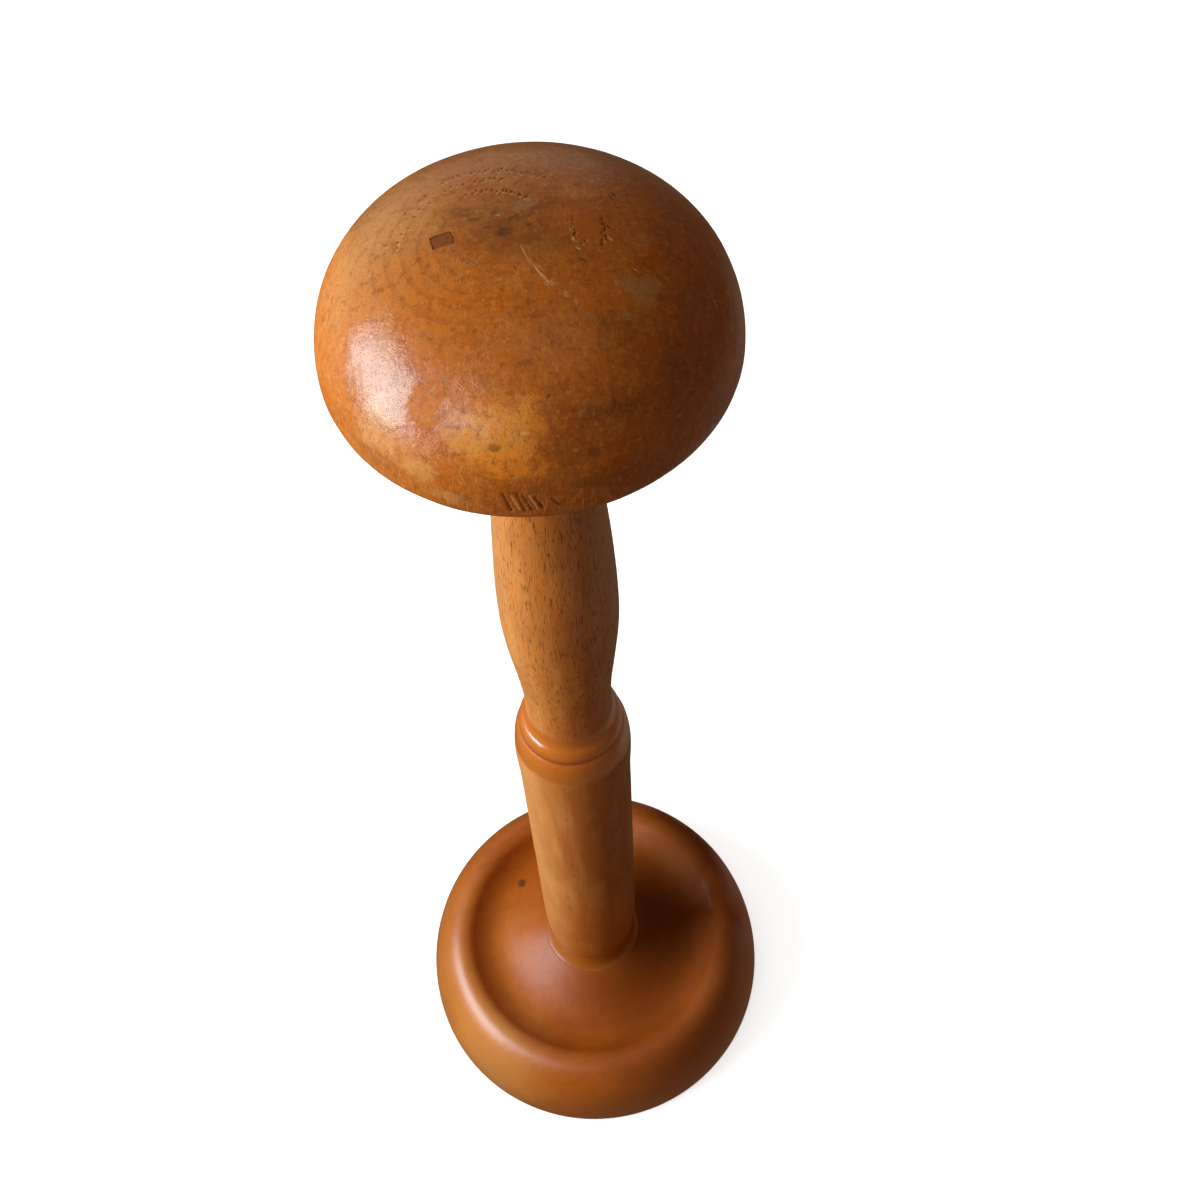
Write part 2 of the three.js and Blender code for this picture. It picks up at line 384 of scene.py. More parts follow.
    def dented(self, wood: Socket) -> Socket:
        """Presses the surface in near each dent's path and stores the dent's tone for the finish.

        Args:
            wood: The surface so far.

        Returns:
            The surface with its dents.
        """
        dents = self.add("GeometryNodeObjectInfo", {"Object": self.given["Dents"]}).node.outputs["Geometry"]
        near = self.add("GeometryNodeProximity", {0: dents}, target_element="EDGES")
        distance = near.node.outputs["Distance"]
        edge = self.add("GeometryNodeSampleNearest", {"Geometry": dents}, domain="EDGE")
        facts = {}
        for fact in ("half_width", "depth", "tone"):
            named = self.add("GeometryNodeInputNamedAttribute", {"Name": fact}, data_type="FLOAT")
            facts[fact] = self.add(
                "GeometryNodeSampleIndex", {"Geometry": dents, "Value": named, "Index": edge},
                data_type="FLOAT", domain="EDGE",
            )
        share = self.add(
            "ShaderNodeMapRange", {"Value": distance, "From Min": facts["half_width"], "From Max": 0.0},
            interpolation_type="SMOOTHSTEP",
        )
        there = self.add("GeometryNodeAttributeDomainSize", {"Geometry": dents}).node.outputs["Edge Count"]
        any_dent = self.add("ShaderNodeMath", {0: there, 1: 0.5}, operation="GREATER_THAN")
        weight = self.add("ShaderNodeMath", {0: share, 1: any_dent}, operation="MULTIPLY")
        depth = self.add("ShaderNodeMath", {0: weight, 1: facts["depth"]}, operation="MULTIPLY")
        inwards = self.add("ShaderNodeMath", {0: depth, 1: -1.0}, operation="MULTIPLY")
        normal = self.add("GeometryNodeInputNormal")
        offset = self.add("ShaderNodeVectorMath", {0: normal, "Scale": inwards}, operation="SCALE")
        tone = self.add("ShaderNodeMath", {0: weight, 1: facts["tone"]}, operation="MULTIPLY")
        noted = self.add(
            "GeometryNodeStoreNamedAttribute", {"Geometry": wood, "Name": "dent_tone", "Value": tone},
            data_type="FLOAT", domain="POINT",
        )
        return self.add("GeometryNodeSetPosition", {"Geometry": noted, "Offset": offset})

    def cut(self, wood: Socket) -> Socket:
        """Takes the cutters' shape out of the wood, where there are any.

        Args:
            wood: The surface so far.

        Returns:
            The wood with its cuts.
        """
        source = self.add("GeometryNodeObjectInfo", {"Object": self.given["Cutters"]})
        cutters = source.node.outputs["Geometry"]
        there = self.add("GeometryNodeAttributeDomainSize", {"Geometry": cutters})
        any_cutter = self.add("FunctionNodeCompare", {0: there, 1: 0.5}, data_type="FLOAT")
        holed = self.add(
            "GeometryNodeMeshBoolean", {0: wood, 1: cutters}, operation="DIFFERENCE", solver="EXACT"
        )
        return self.add(
            "GeometryNodeSwitch", {"Switch": any_cutter, "False": wood, "True": holed},
            input_type="GEOMETRY",
        )

    def finished(self, wood: Socket) -> None:
        """Shades the surface smooth with its crisp corners kept, and gives it its wood.

        Args:
            wood: The surface so far.
        """
        smooth = self.add(
            "GeometryNodeSetShadeSmooth", {"Geometry": wood, "Shade Smooth": True}, domain="FACE"
        )
        angle = self.add("GeometryNodeInputMeshEdgeAngle")
        crisp = self.add("FunctionNodeCompare", {0: angle, 1: self.given["Crease Angle"]}, data_type="FLOAT")
        creased = self.add(
            "GeometryNodeSetShadeSmooth", {"Geometry": smooth, "Selection": crisp, "Shade Smooth": False},
            domain="EDGE",
        )
        real = self.add("GeometryNodeRealizeInstances", {"Geometry": creased})
        dressed = self.add("GeometryNodeSetMaterial", {"Geometry": real, "Material": self.given["Wood"]})
        self.add("NodeGroupOutput", {"Wood": dressed})

    def turn(self, name: str, rings: Sequence[Vector], inputs: dict[str, object]) -> Thing:
        """Turns one piece.

        Args:
            name: Name of the piece.
            rings: Radius and height of each ring, in millimetres.
            inputs: The tree's named inputs, apart from the outline.

        Returns:
            A plain mesh object at the origin, linked to the scene.
        """
        mesh = bpy.data.meshes.new(name)
        points = [Vector((ring.x, 0.0, ring.y)) * MM for ring in rings]
        mesh.from_pydata(points, [(i, i + 1) for i in range(len(points) - 1)], [])
        piece = bpy.data.objects.new(name, mesh)
        bpy.context.scene.collection.objects.link(piece)
        modifier = piece.modifiers.new("turned_wood", "NODES")
        modifier.node_group = self.tree
        for item in self.tree.interface.items_tree:
            if item.in_out == "INPUT" and item.name in inputs:
                modifier[item.identifier] = inputs[item.name]
        return settled(piece)


def settled(piece: Thing) -> Thing:
    """Turns a piece and its modifiers into one plain mesh.

    Args:
        piece: The piece, whose modifiers are removed.

    Returns:
        The same piece.
    """
    bpy.context.view_layer.update()
    evaluated = piece.evaluated_get(bpy.context.evaluated_depsgraph_get())
    old, name = piece.data, piece.name
    mesh = bpy.data.meshes.new_from_object(evaluated)
    piece.modifiers.clear()
    piece.data = mesh
    bpy.data.meshes.remove(old)
    mesh.name = name
    return piece


def prism(name: str, outline: Sequence[Pair], low: float, high: float) -> Thing:
    """Makes an upright solid from a flat outline.

    Args:
        name: Name of the object.
        outline: Corners in X and Y, anticlockwise from above, in millimetres.
        low: Height of its underside.
        high: Height of its top.

    Returns:
        An object that isn't linked to the scene.
    """
    count = len(outline)
    points = [Vector((x, y, z)) * MM for z in (low, high) for x, y in outline]
    sides = [(i, (i + 1) % count, count + (i + 1) % count, count + i) for i in range(count)]
    mesh = bpy.data.meshes.new(name)
    mesh.from_pydata(points, [], [tuple(range(count))[::-1], tuple(range(count, 2 * count)), *sides])
    return bpy.data.objects.new(name, mesh)


def joined(name: str, parts: Sequence[Thing]) -> Thing:
    """Puts several unlinked solids into one, and removes them.

    Args:
        name: Name of the object.
        parts: The solids.

    Returns:
        An object that isn't linked to the scene.
    """
    points: list[Vector] = []
    faces: list[tuple[int, ...]] = []
    for part in parts:
        start = len(points)
        points += [vertex.co.copy() for vertex in part.data.vertices]
        faces += [tuple(start + i for i in polygon.vertices) for polygon in part.data.polygons]
        bpy.data.meshes.remove(part.data)
    mesh = bpy.data.meshes.new(name)
    mesh.from_pydata(points, [], faces)
    return bpy.data.objects.new(name, mesh)


@dataclass(frozen=True)
class Mark:
    """A stain, a worn patch or a spot of another colour at a place on the wood.

    The tables below write each mark's values in this order, and leave out the last ones where they are usual.

    Attributes:
        place: Its middle, in millimetres.
        reach: Its half sizes along its own three axes, in millimetres.
        color: Its colour.
        strength: How much of the wood below it hides, from 0 to 1.
        turn: Its turn about Z, in degrees.
        ragged: How far its edge strays, as a share of its half sizes.
        soft: How wide its edge is, as a share of its half sizes.
    """

    place: Point
    reach: Point
    color: str
    strength: float
    turn: float = 0.0
    ragged: float = 0.5
    soft: float = 0.5


class WoodPainter:
    """Lays colour, gloss and fine relief on a wood finish, coat over coat, in millimetres."""

    def __init__(self, name: str, ground: str, roughness: float) -> None:
        """Starts the finish.

        Args:
            name: Name of the material.
            ground: Its ground colour.
            roughness: How dull the ground is, from 0 to 1.
        """
        self.material = bpy.data.materials.new(name)
        self.material.use_nodes = True
        self.material.node_tree.nodes.clear()
        self.add = partial(add_node, self.material.node_tree)
        place = self.add("ShaderNodeTexCoord").node.outputs["Object"]
        self.mm = self.add("ShaderNodeVectorMath", {0: place, "Scale": 1 / MM}, operation="SCALE")
        self.color: object = linear(ground)
        self.roughness: object = roughness
        self.coat: object = 0.0
        self.relief: object = 0.0

    def laid(self, size: Point, place: Point = NOWHERE, turn: Point = NOWHERE) -> Socket:
        """Gives coordinates with their own middle and turn, counted in a pattern's own sizes."""
        return self.add(
            "ShaderNodeMapping", {"Vector": self.mm, "Location": place, "Rotation": turn, "Scale": size},
            vector_type="TEXTURE",
        )

    def patches(
        self,
        size: Point | float,
        low: float,
        high: float,
        place: Point = NOWHERE,
        turn: Point = NOWHERE,
        detail: float = 2.0,
        coarse: float = 0.5,
        drift: float = 0.0,
    ) -> Socket:
        """Makes a cloudy pattern and keeps its high parts.

        Args:
            size: Size of a cloud in millimetres, or its size along each axis.
            low: Where the pattern starts to show, from 0 to 1.
            high: Where it is full.
            place: Shift that makes it differ from like patterns.
            turn: Turn of its axes.
            detail: How many times finer clouds are added.
            coarse: How strong the finer clouds are.
            drift: How much it swirls.

        Returns:
            A mask from 0 to 1.
        """
        sizes = (size, size, size) if isinstance(size, (int, float)) else size
        noise = self.add(
            "ShaderNodeTexNoise",
            {"Vector": self.laid(sizes, place, turn), "Scale": 1.0, "Detail": detail, "Roughness": coarse,
             "Distortion": drift},
        )
        return self.add(
            "ShaderNodeMapRange", {"Value": noise, "From Min": low, "From Max": high},
            interpolation_type="SMOOTHSTEP",
        )

    def spot(self, mark: Mark) -> Socket:
        """Makes a mask with the shape of a mark.

        Args:
            mark: The mark, whose colour isn't laid yet.

        Returns:
            A mask that is 1 inside the mark and 0 outside its ragged edge.
        """
        far = 1.0 + mark.ragged + mark.soft / 2
        reach = (mark.reach[0] * far, mark.reach[1] * far, mark.reach[2] * far)
        own = self.laid(reach, mark.place, (0.0, 0.0, math.radians(mark.turn)))
        noise = self.add(
            "ShaderNodeTexNoise", {"Vector": own, "Scale": 2.2 * far, "Detail": 3.0, "Roughness": 0.6}
        )
        inside = self.add(
            "ShaderNodeTexGradient", {"Vector": own}, gradient_type="SPHERICAL"
        ).node.outputs["Fac"]
        depth = self.add("ShaderNodeMath", {0: inside, 1: far}, operation="MULTIPLY")
        stray = self.add(
            "ShaderNodeMath", {0: noise, 1: -2 * mark.ragged, 2: depth}, operation="MULTIPLY_ADD"
        )
        return self.add(
            "ShaderNodeMapRange", {"Value": stray, "From Min": 0.0, "From Max": mark.soft},
            interpolation_type="SMOOTHSTEP",
        )

    def rings(self, pith: Point, spacing: float, drift: float, low: float, high: float) -> Socket:
        """Makes yearly rings round a pith that runs up, with a sharp outer side to each.

        Args:
            pith: A point on the rings' axis.
            spacing: Distance between rings in millimetres.
            drift: How far the rings stray from true circles.
            low: Where a ring starts to show, from 0 to 1.
            high: Where it is full.

        Returns:
            A mask from 0 to 1.
        """
        rings_per_unit = 20 / math.tau
        wave = self.add(
            "ShaderNodeTexWave",
            {"Vector": self.laid((spacing, spacing, spacing), pith), "Scale": 1 / rings_per_unit,
             "Distortion": drift, "Detail": 2.0, "Detail Scale": 1.2, "Detail Roughness": 0.6},
            wave_type="RINGS", rings_direction="Z", wave_profile="SAW",
        ).node.outputs["Fac"]
        return self.add(
            "ShaderNodeMapRange", {"Value": wave, "From Min": low, "From Max": high},
            interpolation_type="SMOOTHSTEP",
        )

    def both(self, first: Socket, second: Socket) -> Socket:
        """Keeps a mask only where another one shows."""
        return self.add("ShaderNodeMath", {0: first, 1: second}, operation="MULTIPLY")

    def between(self, low: float, high: float, soft: float, ragged: float = 0.0) -> Socket:
        """Makes a mask of the wood between two heights.

        Args:
            low: The lower height, in millimetres.
            high: The upper height.
            soft: How wide each edge is.
            ragged: How far each edge strays.

        Returns:
            A mask from 0 to 1.
        """
        height = self.add("ShaderNodeSeparateXYZ", {0: self.mm}).node.outputs["Z"]
        if ragged:
            noise = self.add(
                "ShaderNodeTexNoise", {"Vector": self.laid((6.0, 6.0, 6.0)), "Scale": 1.0, "Detail": 3.0}
            )
            middle = self.add("ShaderNodeMath", {0: noise, 1: -0.5}, operation="ADD")
            height = self.add(
                "ShaderNodeMath", {0: middle, 1: 2 * ragged, 2: height}, operation="MULTIPLY_ADD"
            )
        rising = self.add(
            "ShaderNodeMapRange", {"Value": height, "From Min": low - soft / 2, "From Max": low + soft / 2},
            interpolation_type="SMOOTHSTEP",
        )
        falling = self.add(
            "ShaderNodeMapRange",
            {"Value": height, "From Min": high + soft / 2, "From Max": high - soft / 2},
            interpolation_type="SMOOTHSTEP",
        )
        return self.both(rising, falling)

    def tint(self, color: str, mask: Socket, strength: float = 1.0) -> None:
        """Lays a colour over what is there."""
        share = self.add("ShaderNodeMath", {0: mask, 1: strength}, operation="MULTIPLY")
        self.color = self.add(
            "ShaderNodeMix", {"Factor": share, "A": self.color, "B": linear(color)}, data_type="RGBA"
        )

    def marked(self, marks: Sequence[Mark], through: Socket | None = None) -> None:
        """Lays marks over what is there.

        Args:
            marks: The marks, from the first laid to the last.
            through: A mask that breaks them up, where there is one.
        """
        for mark in marks:
            mask = self.spot(mark)
            self.tint(mark.color, self.both(mask, through) if through else mask, mark.strength)

    def stain(self, color: str, mask: Socket, strength: float = 1.0) -> None:
        """Darkens what is there through a colour, so that the grain below still shows."""
        share = self.add("ShaderNodeMath", {0: mask, 1: strength}, operation="MULTIPLY")
        self.color = self.add(
            "ShaderNodeMix", {"Factor": share, "A": self.color, "B": linear(color)}, data_type="RGBA",
            blend_type="MULTIPLY",
        )

    def dull(self, roughness: float, mask: Socket, strength: float = 1.0) -> None:
        """Brings the roughness towards a value where the mask shows."""
        share = self.add("ShaderNodeMath", {0: mask, 1: strength}, operation="MULTIPLY")
        self.roughness = self.add(
            "ShaderNodeMix", {"Factor": share, "A": self.roughness, "B": roughness}, data_type="FLOAT"
        )

    def coated(self, weight: float, mask: Socket) -> None:
        """Brings the clear coat towards a weight where the mask shows."""
        self.coat = self.add(
            "ShaderNodeMix", {"Factor": mask, "A": self.coat, "B": weight}, data_type="FLOAT"
        )

    def raised(self, height: float, mask: Socket) -> None:
        """Raises the surface by a height in millimetres where the mask shows, or sinks it."""
        self.relief = self.add(
            "ShaderNodeMath", {0: mask, 1: height * MM, 2: self.relief}, operation="MULTIPLY_ADD"
        )

    def dents(self, dirt: str, bare: str) -> None:
        """Colours the dents by their tone.

        Args:
            dirt: Colour of the dirty ones.
            bare: Colour of the ones with pale wood.
        """
        tone = self.add(
            "ShaderNodeAttribute", attribute_name="dent_tone", attribute_type="GEOMETRY"
        ).node.outputs["Fac"]
        for color, sign in ((dirt, -1.0), (bare, 1.0)):
            share = self.add(
                "ShaderNodeMapRange", {"Value": tone, "From Min": 0.1 * sign, "From Max": 0.8 * sign}
            )
            self.tint(color, share, 0.75)

    def done(
        self, coat_roughness: float = 0.15, sheen: float = 0.5, coat_ior: float = 1.5
    ) -> Material:
        """Ends the finish.

        Args:
            coat_roughness: How dull the clear coat is.
            sheen: How strongly the wood itself mirrors light.
            coat_ior: Refraction index of the clear coat.

        Returns:
            The material.
        """
        bump = self.add("ShaderNodeBump", {"Strength": 1.0, "Distance": 1.0, "Height": self.relief})
        surface = self.add(
            "ShaderNodeBsdfPrincipled",
            {"Base Color": self.color, "Roughness": self.roughness, "Normal": bump, "IOR": 1.5,
             "Specular IOR Level": sheen, "Coat Weight": self.coat, "Coat Roughness": coat_roughness,
             "Coat IOR": coat_ior, "Coat Normal": bump},
        )
        self.add("ShaderNodeOutputMaterial", {"Surface": surface})
        return self.material


@dataclass(frozen=True)
class HeadFinish:
    """French polished fruitwood, turned with its end grain up.

    The shellac gives a warm orange-brown with a soft window gleam. Handling has worn it dull at the left, and
    has left a grey-brown stain, water spots, a scuff and dirt towards the rim.
    """

    ground: str = "#b95d0d"
    golden: str = "#cd7c2a"
    brown: str = "#84400f"
    olive: str = "#b07a3c"
    pore: str = "#4a220b"
    dirt: str = "#3a1c0b"
    bare: str = "#d8a263"
    rim_stain: str = "#d8bc9c"
    rim_dark: str = "#5a2c12"
    rim_pale: str = "#d09a60"
    rim_heights: Pair = (395, 416)
    pith: Point = (-7.2, -0.4, 0.0)
    ring_spacing: float = 3.3
    crown: Mark = Mark((-17, -4, 438), (15, 18, 9), "#7a3d10", 0.33, 0, 0.5, 1.4)
    rubbed: Mark = Mark((-22, -16, 430), (26, 34, 24), "#e9b878", 0.45, 0, 0.5, 1.4)
    # Only the gloss changes here, so this mark's colour isn't laid
    far_side: Mark = Mark((47, 0, 420), (13, 60, 40), "#7a3d10", 0, 0, 0.5, 0.8)
    washes: tuple[Mark, ...] = (
        Mark((-28, 8, 436), (15, 20, 14), "#c69052", 0.52, 0, 0.5, 1.3),
        Mark((-21, -12, 438), (15, 11, 12), "#c9690c", 0.5, -12, 0.5, 1.2),
        Mark((3, 24, 432), (32, 15, 20), "#9c5f33", 0.45, 0, 0.5, 1.3),
        # Painted shade: the next two darken the right side and the lower front towards the right, where the
        # window's light falls off
        Mark((37, -8, 424), (24, 46, 34), "#6e300b", 0.22, 0, 0.5, 1.4),
        Mark((20, -38, 420), (24, 14, 16), "#74360c", 0.18, 20, 0.5, 1.3),
        Mark((6, 1, 440), (15, 10, 12), "#8a4612", 0.3, 0, 0.5, 1.2),
        Mark((-29, -23, 428), (8, 12, 9), "#8c4c16", 0.3, -35, 0.5, 1.2),
        Mark((8, -37, 427), (7, 4, 6), "#8a3f08", 0.4, 0, 0.9, 1),
        Mark((5, -24, 437), (9, 6, 8), "#b36c35", 0.35, -10, 0.5, 1.2),
        Mark((-13.5, -37, 427), (5, 4, 3.4), "#c89a68", 0.4, 0, 1, 0.6),
        # Painted highlight: the next two cream patches stand for the window's gleam spreading below the
        # highlight, over dull worn wood
        Mark((-31.5, -28.5, 422), (5, 6, 5.5), "#eec490", 0.26, -30, 1.2, 1),
        Mark((-25.5, -35, 420.4), (6, 3.6, 3.6), "#e2b078", 0.2, -20, 1.2, 1),
        Mark((-8, -37.5, 427), (9, 5, 7), "#e08a26", 0.72, 0, 0.9, 0.6),
        Mark((-5.2, -42, 422.6), (6, 3, 2.8), "#e27e20", 0.7, 0, 0.9),
        Mark((4.2, -41, 425.4), (5, 3, 4), "#8a3c04", 0.5, 0, 0.9, 0.8),
        Mark((0.6, -44.2, 417), (10.5, 3, 1.5), "#54290e", 0.2, 0, 1.3, 0.9),
        Mark((13, -42.6, 417.4), (9, 4, 2.4), "#5a2c0e", 0.15, 14, 1.3, 1),
    )
    marks: tuple[Mark, ...] = (
        Mark((-3, 0.8, 440), (1.5, 1.1, 8), "#33241c", 0.55, 20, 1, 0.7),
        Mark((-6.2, 2.6, 440), (0.9, 0.4, 8), "#3f281a", 0.55, -14, 1, 0.7),
        Mark((-8.6, 5.4, 440), (1.3, 0.5, 8), "#462b19", 0.5, -10, 1, 0.7),
        Mark((-4.6, 6.6, 440), (1, 0.45, 8), "#462b19", 0.5, 24, 1, 0.7),
        Mark((-1, 4.6, 440), (1.5, 0.4, 8), "#462b19", 0.45, 30, 1, 0.7),
        Mark((1.9, 2.2, 440), (0.8, 0.5, 8), "#462b19", 0.5, 0, 1, 0.7),
        Mark((3.4, -2, 440), (1.1, 0.5, 8), "#4f2c15", 0.45, -25, 1, 0.7),
        Mark((20, -13.1, 437), (2.4, 1.8, 5), "#a87642", 0.5, 20, 1, 0.12),
        Mark((23.8, -12.5, 436), (2.4, 1.9, 5), "#a87642", 0.5, 0, 1, 0.12),
        Mark((22.4, -15.3, 436), (2.2, 2.6, 5), "#a87642", 0.46, -30, 1, 0.12),
        Mark((18.2, -19.9, 436), (1.3, 0.9, 4), "#a87440", 0.42, 0, 1.1, 0.3),
        Mark((17.3, -12.9, 437.7), (0.5, 0.6, 3), "#b9824c", 0.5, 0, 0.3, 0.4),
        Mark((22.5, -20.6, 434.3), (0.8, 0.5, 3), "#a87242", 0.4, 0, 1.1),
        Mark((31.9, -14.7, 431.3), (1.6, 2.4, 4), "#a06a36", 0.35, 14, 0.7),
        Mark((-10.2, -21, 437), (0.6, 0.5, 2), "#54290f", 0.5, 0, 0.8, 0.7),
        Mark((-1.2, -28.3, 435.3), (1.7, 0.6, 2), "#5b2f13", 0.45, 12, 1, 0.9),
        Mark((-3.6, -18.5, 438.3), (0.35, 0.3, 2), "#4e4652", 0.6, 0, 0.4, 0.7),
        Mark((19.2, 10.6, 437.6), (0.5, 0.6, 2), "#3a1e10", 0.7, 0, 0.5, 0.6),
        Mark((6.6, -36.1, 430.1), (1.1, 0.6, 0.5), "#6d3d1c", 0.4, 0, 0.9, 0.8),
        Mark((9.5, -41.1, 423), (1.3, 1, 1.4), "#5a2a0e", 0.5, 0, 0.9, 0.8),
        Mark((-2.9, -38.8, 427.9), (0.9, 0.4, 0.35), "#dba768", 0.6, 0, 0.9),
        Mark((6.1, -41.1, 424.3), (0.6, 0.4, 0.35), "#bb8048", 0.5, 0, 0.8, 0.6),
        Mark((-8.9, -39.7, 425.6), (1.3, 0.7, 0.8), "#63320f", 0.55, -30, 0.8, 0.7),
        Mark((-18.8, -40.7, 412.7), (4, 2.5, 1.6), "#c99358", 0.4, 0, 1, 0.6),
        Mark((-24.1, -37.1, 417.3), (4, 3, 2.4), "#cf924a", 0.35, 0, 1, 0.7),
        Mark((0.5, -5.4, 440), (0.16, 2.3, 2), "#c99a66", 0.45, 16, 1, 0.9),
        Mark((2.1, -8.9, 440), (0.24, 2.4, 2), "#cf9c62", 0.5, 30, 1.2, 0.8),
        Mark((2.9, -8.6, 440), (0.12, 1.6, 2), "#cf9c62", 0.45, 36, 1.2, 0.8),
        Mark((3.4, -11.2, 440), (0.4, 1.2, 2), "#c9955c", 0.45, 38, 1.3, 0.8),
        Mark((16.4, 2.2, 440), (0.35, 0.9, 2), "#4a200c", 0.6, 8, 1.1, 0.6),
        Mark((16.2, -0.4, 440), (0.3, 0.7, 2), "#4a200c", 0.6, -12, 1.1, 0.6),
        Mark((16.6, -2.4, 440), (0.4, 0.6, 2), "#542610", 0.55, 0, 1.1, 0.6),
        Mark((15.6, 0.6, 440), (0.3, 1.4, 2), "#a04c14", 0.6, 6, 1.1, 0.6),
        Mark((10.2, -2.4, 440), (0.35, 1, 2), "#c08038", 0.55, 16, 1.2, 0.6),
        Mark((11.6, -3.6, 440), (0.3, 0.7, 2), "#c08038", 0.5, -24, 1.2, 0.6),
        Mark((9.8, 0.4, 440), (0.25, 0.8, 2), "#c08038", 0.45, 8, 1.2, 0.6),
        Mark((4.8, -12.9, 439), (1.5, 0.6, 2), "#cf9a62", 0.5, -18, 1.2, 0.6),
        Mark((7.4, -15.5, 438.6), (0.45, 0.8, 2), "#d29c62", 0.55, 10, 0.9),
        Mark((9.2, -17.1, 438.2), (0.4, 0.6, 2), "#c88f55", 0.5, 20, 0.9),
        Mark((11.5, -20.2, 437.2), (1.2, 0.7, 2), "#a8703c", 0.45, -40, 1, 0.7),
    )
    smears: tuple[Mark, ...] = (
        Mark((-3.5, 3.6, 440), (9.5, 7.5, 12), "#6a4022", 0.62, 12, 1.3, 1.3),
        Mark((0.5, -0.5, 440), (7, 4.6, 12), "#5c351c", 0.36, -20, 1.2, 1.2),
        Mark((6.5, -2.5, 440), (6, 5, 12), "#74401a", 0.22, 0, 1.3, 1.3),
        Mark((-9, 7.6, 440), (5, 1.4, 8), "#5a3620", 0.45, -12, 1.2, 1.1),
        Mark((4.4, 7, 440), (4.6, 1.4, 8), "#542f18", 0.5, 38, 1.1, 1.1),
        Mark((1.6, 8.2, 440), (2.6, 1.5, 4), "#b08a6c", 0.42, 20, 1.2, 1.1),
        Mark((12.4, 10.8, 439), (4.6, 1.5, 4), "#c98a52", 0.5, -6, 1.2, 1),
        Mark((15.5, 7.6, 439), (3.4, 2, 4), "#9a5a2c", 0.4, 30, 1.1, 0.9),
        Mark((23.7, -2.1, 437), (3, 1.5, 4), "#ae7a4c", 0.35, 20, 1.2, 1),
        Mark((16.2, -22.5, 436), (4.6, 3, 5), "#65330f", 0.5, 0, 1.3, 1.1),
        Mark((11.7, -35.9, 429), (4.6, 1.6, 1.3), "#4c2710", 0.5, 10, 1.3, 1.1),
        Mark((17, -34.8, 427.9), (4.4, 1.6, 1.4), "#46220d", 0.6, 16, 1.3, 1.1),
        Mark((26.7, -27.1, 428.8), (2.6, 3, 3), "#50270d", 0.5, 0, 1.3, 1.1),
        Mark((-32.7, -30.3, 414.7), (6, 5, 2), "#6a3f1c", 0.5, 0, 1.3, 1.1),
        Mark((31, -20, 427), (9, 12, 9), "#54270e", 0.35, 0, 1.3, 1.4),
        Mark((-12, -42, 416), (14, 5, 4), "#6b3a18", 0.15, 0, 1.3, 1.3),
    )
    worn: tuple[Mark, ...] = (
        Mark((-41.2, -4, 420), (8.6, 30, 22), "#c9802c", 0.12, 0, 0.7, 0.3),
        Mark((-32, -34, 413.5), (13.5, 12, 8.5), "#c9873a", 0.2, -42, 0.8, 0.3),
        Mark((-20.5, -30.5, 429), (4, 7.5, 5), "#b8660f", 0.12, -35, 0.9, 0.6),
    )

    def build(self) -> Material:
        """Makes the material.

        Returns:
            The material.
        """
        wood = WoodPainter("french_polished_fruitwood", self.ground, 0.36)
        wood.tint(self.golden, wood.patches(15.0, 0.45, 0.72, detail=4.0, coarse=0.6), 0.4)
        wood.tint(self.brown, wood.patches(5.5, 0.45, 0.72, (30, 0, 0), detail=6.0, coarse=0.7), 0.5)
        wood.tint(self.olive, wood.patches(3.4, 0.5, 0.72, (4, 4, 9), detail=6.0, coarse=0.75), 0.4)
        wood.marked(self.washes)
        self.grain(wood)
        worn_left = [wood.spot(mark) for mark in self.worn]
        for mark, mask in zip(self.worn, worn_left):
            wood.tint(mark.color, mask, mark.strength)
        wood.marked(self.smears, wood.patches(1.8, 0.28, 0.7, (6, 1, 4), detail=6.0, coarse=0.75))
        wood.marked(self.marks)
        self.scratches(wood)
        self.rim(wood)
        wood.dents(self.dirt, self.bare)
        wood.coated(0.8, wood.patches(14.0, 0.2, 0.45, (2, 8, 1)))
        wood.coated(0.3, wood.spot(self.far_side))
        for mask in worn_left:
            wood.dull(0.6, mask)
            wood.coated(0.0, mask)
        wood.dull(0.5, wood.patches(3.0, 0.5, 0.72, (3, 3, 3), detail=5.0, coarse=0.65), 0.55)
        wood.raised(0.09, wood.patches(3.2, 0.2, 0.8, (1, 6, 3), detail=5.0, coarse=0.62))
        wood.raised(0.014, wood.patches(0.55, 0.25, 0.75, (5, 2, 7), detail=2.0))
        return wood.done(coat_roughness=0.21, sheen=0.25)

    def grain(self, wood: WoodPainter) -> None:
        """Adds the end grain's faint rings at the left, its fine mottle, its pores and specks of dirt.

        Args:
            wood: The finish so far.
        """
        rings = wood.rings(self.pith, self.ring_spacing, 1.4, 0.45, 0.95)
        wood.tint(self.crown.color, wood.both(rings, wood.spot(self.crown)), self.crown.strength)
        wood.tint(self.golden, wood.patches(1.3, 0.5, 0.66, (8, 8, 8), detail=4.0, coarse=0.7), 0.5)
        wood.tint(self.brown, wood.patches(1.7, 0.5, 0.66, (1, 8, 4), detail=4.0, coarse=0.7), 0.55)
        # Real pores are about 0.05 mm wide, too fine to show, so these are drawn four times as wide
        pores = wood.patches((0.22, 0.22, 2.2), 0.6, 0.7, (7, 3, 0), detail=1.0)
        wood.tint(self.pore, pores, 0.4)
        wood.raised(-0.02, pores)
        specks = wood.patches(1.4, 0.66, 0.74, (4, 9, 2), detail=4.0, coarse=0.65)
        wood.tint(self.pore, specks, 0.45)

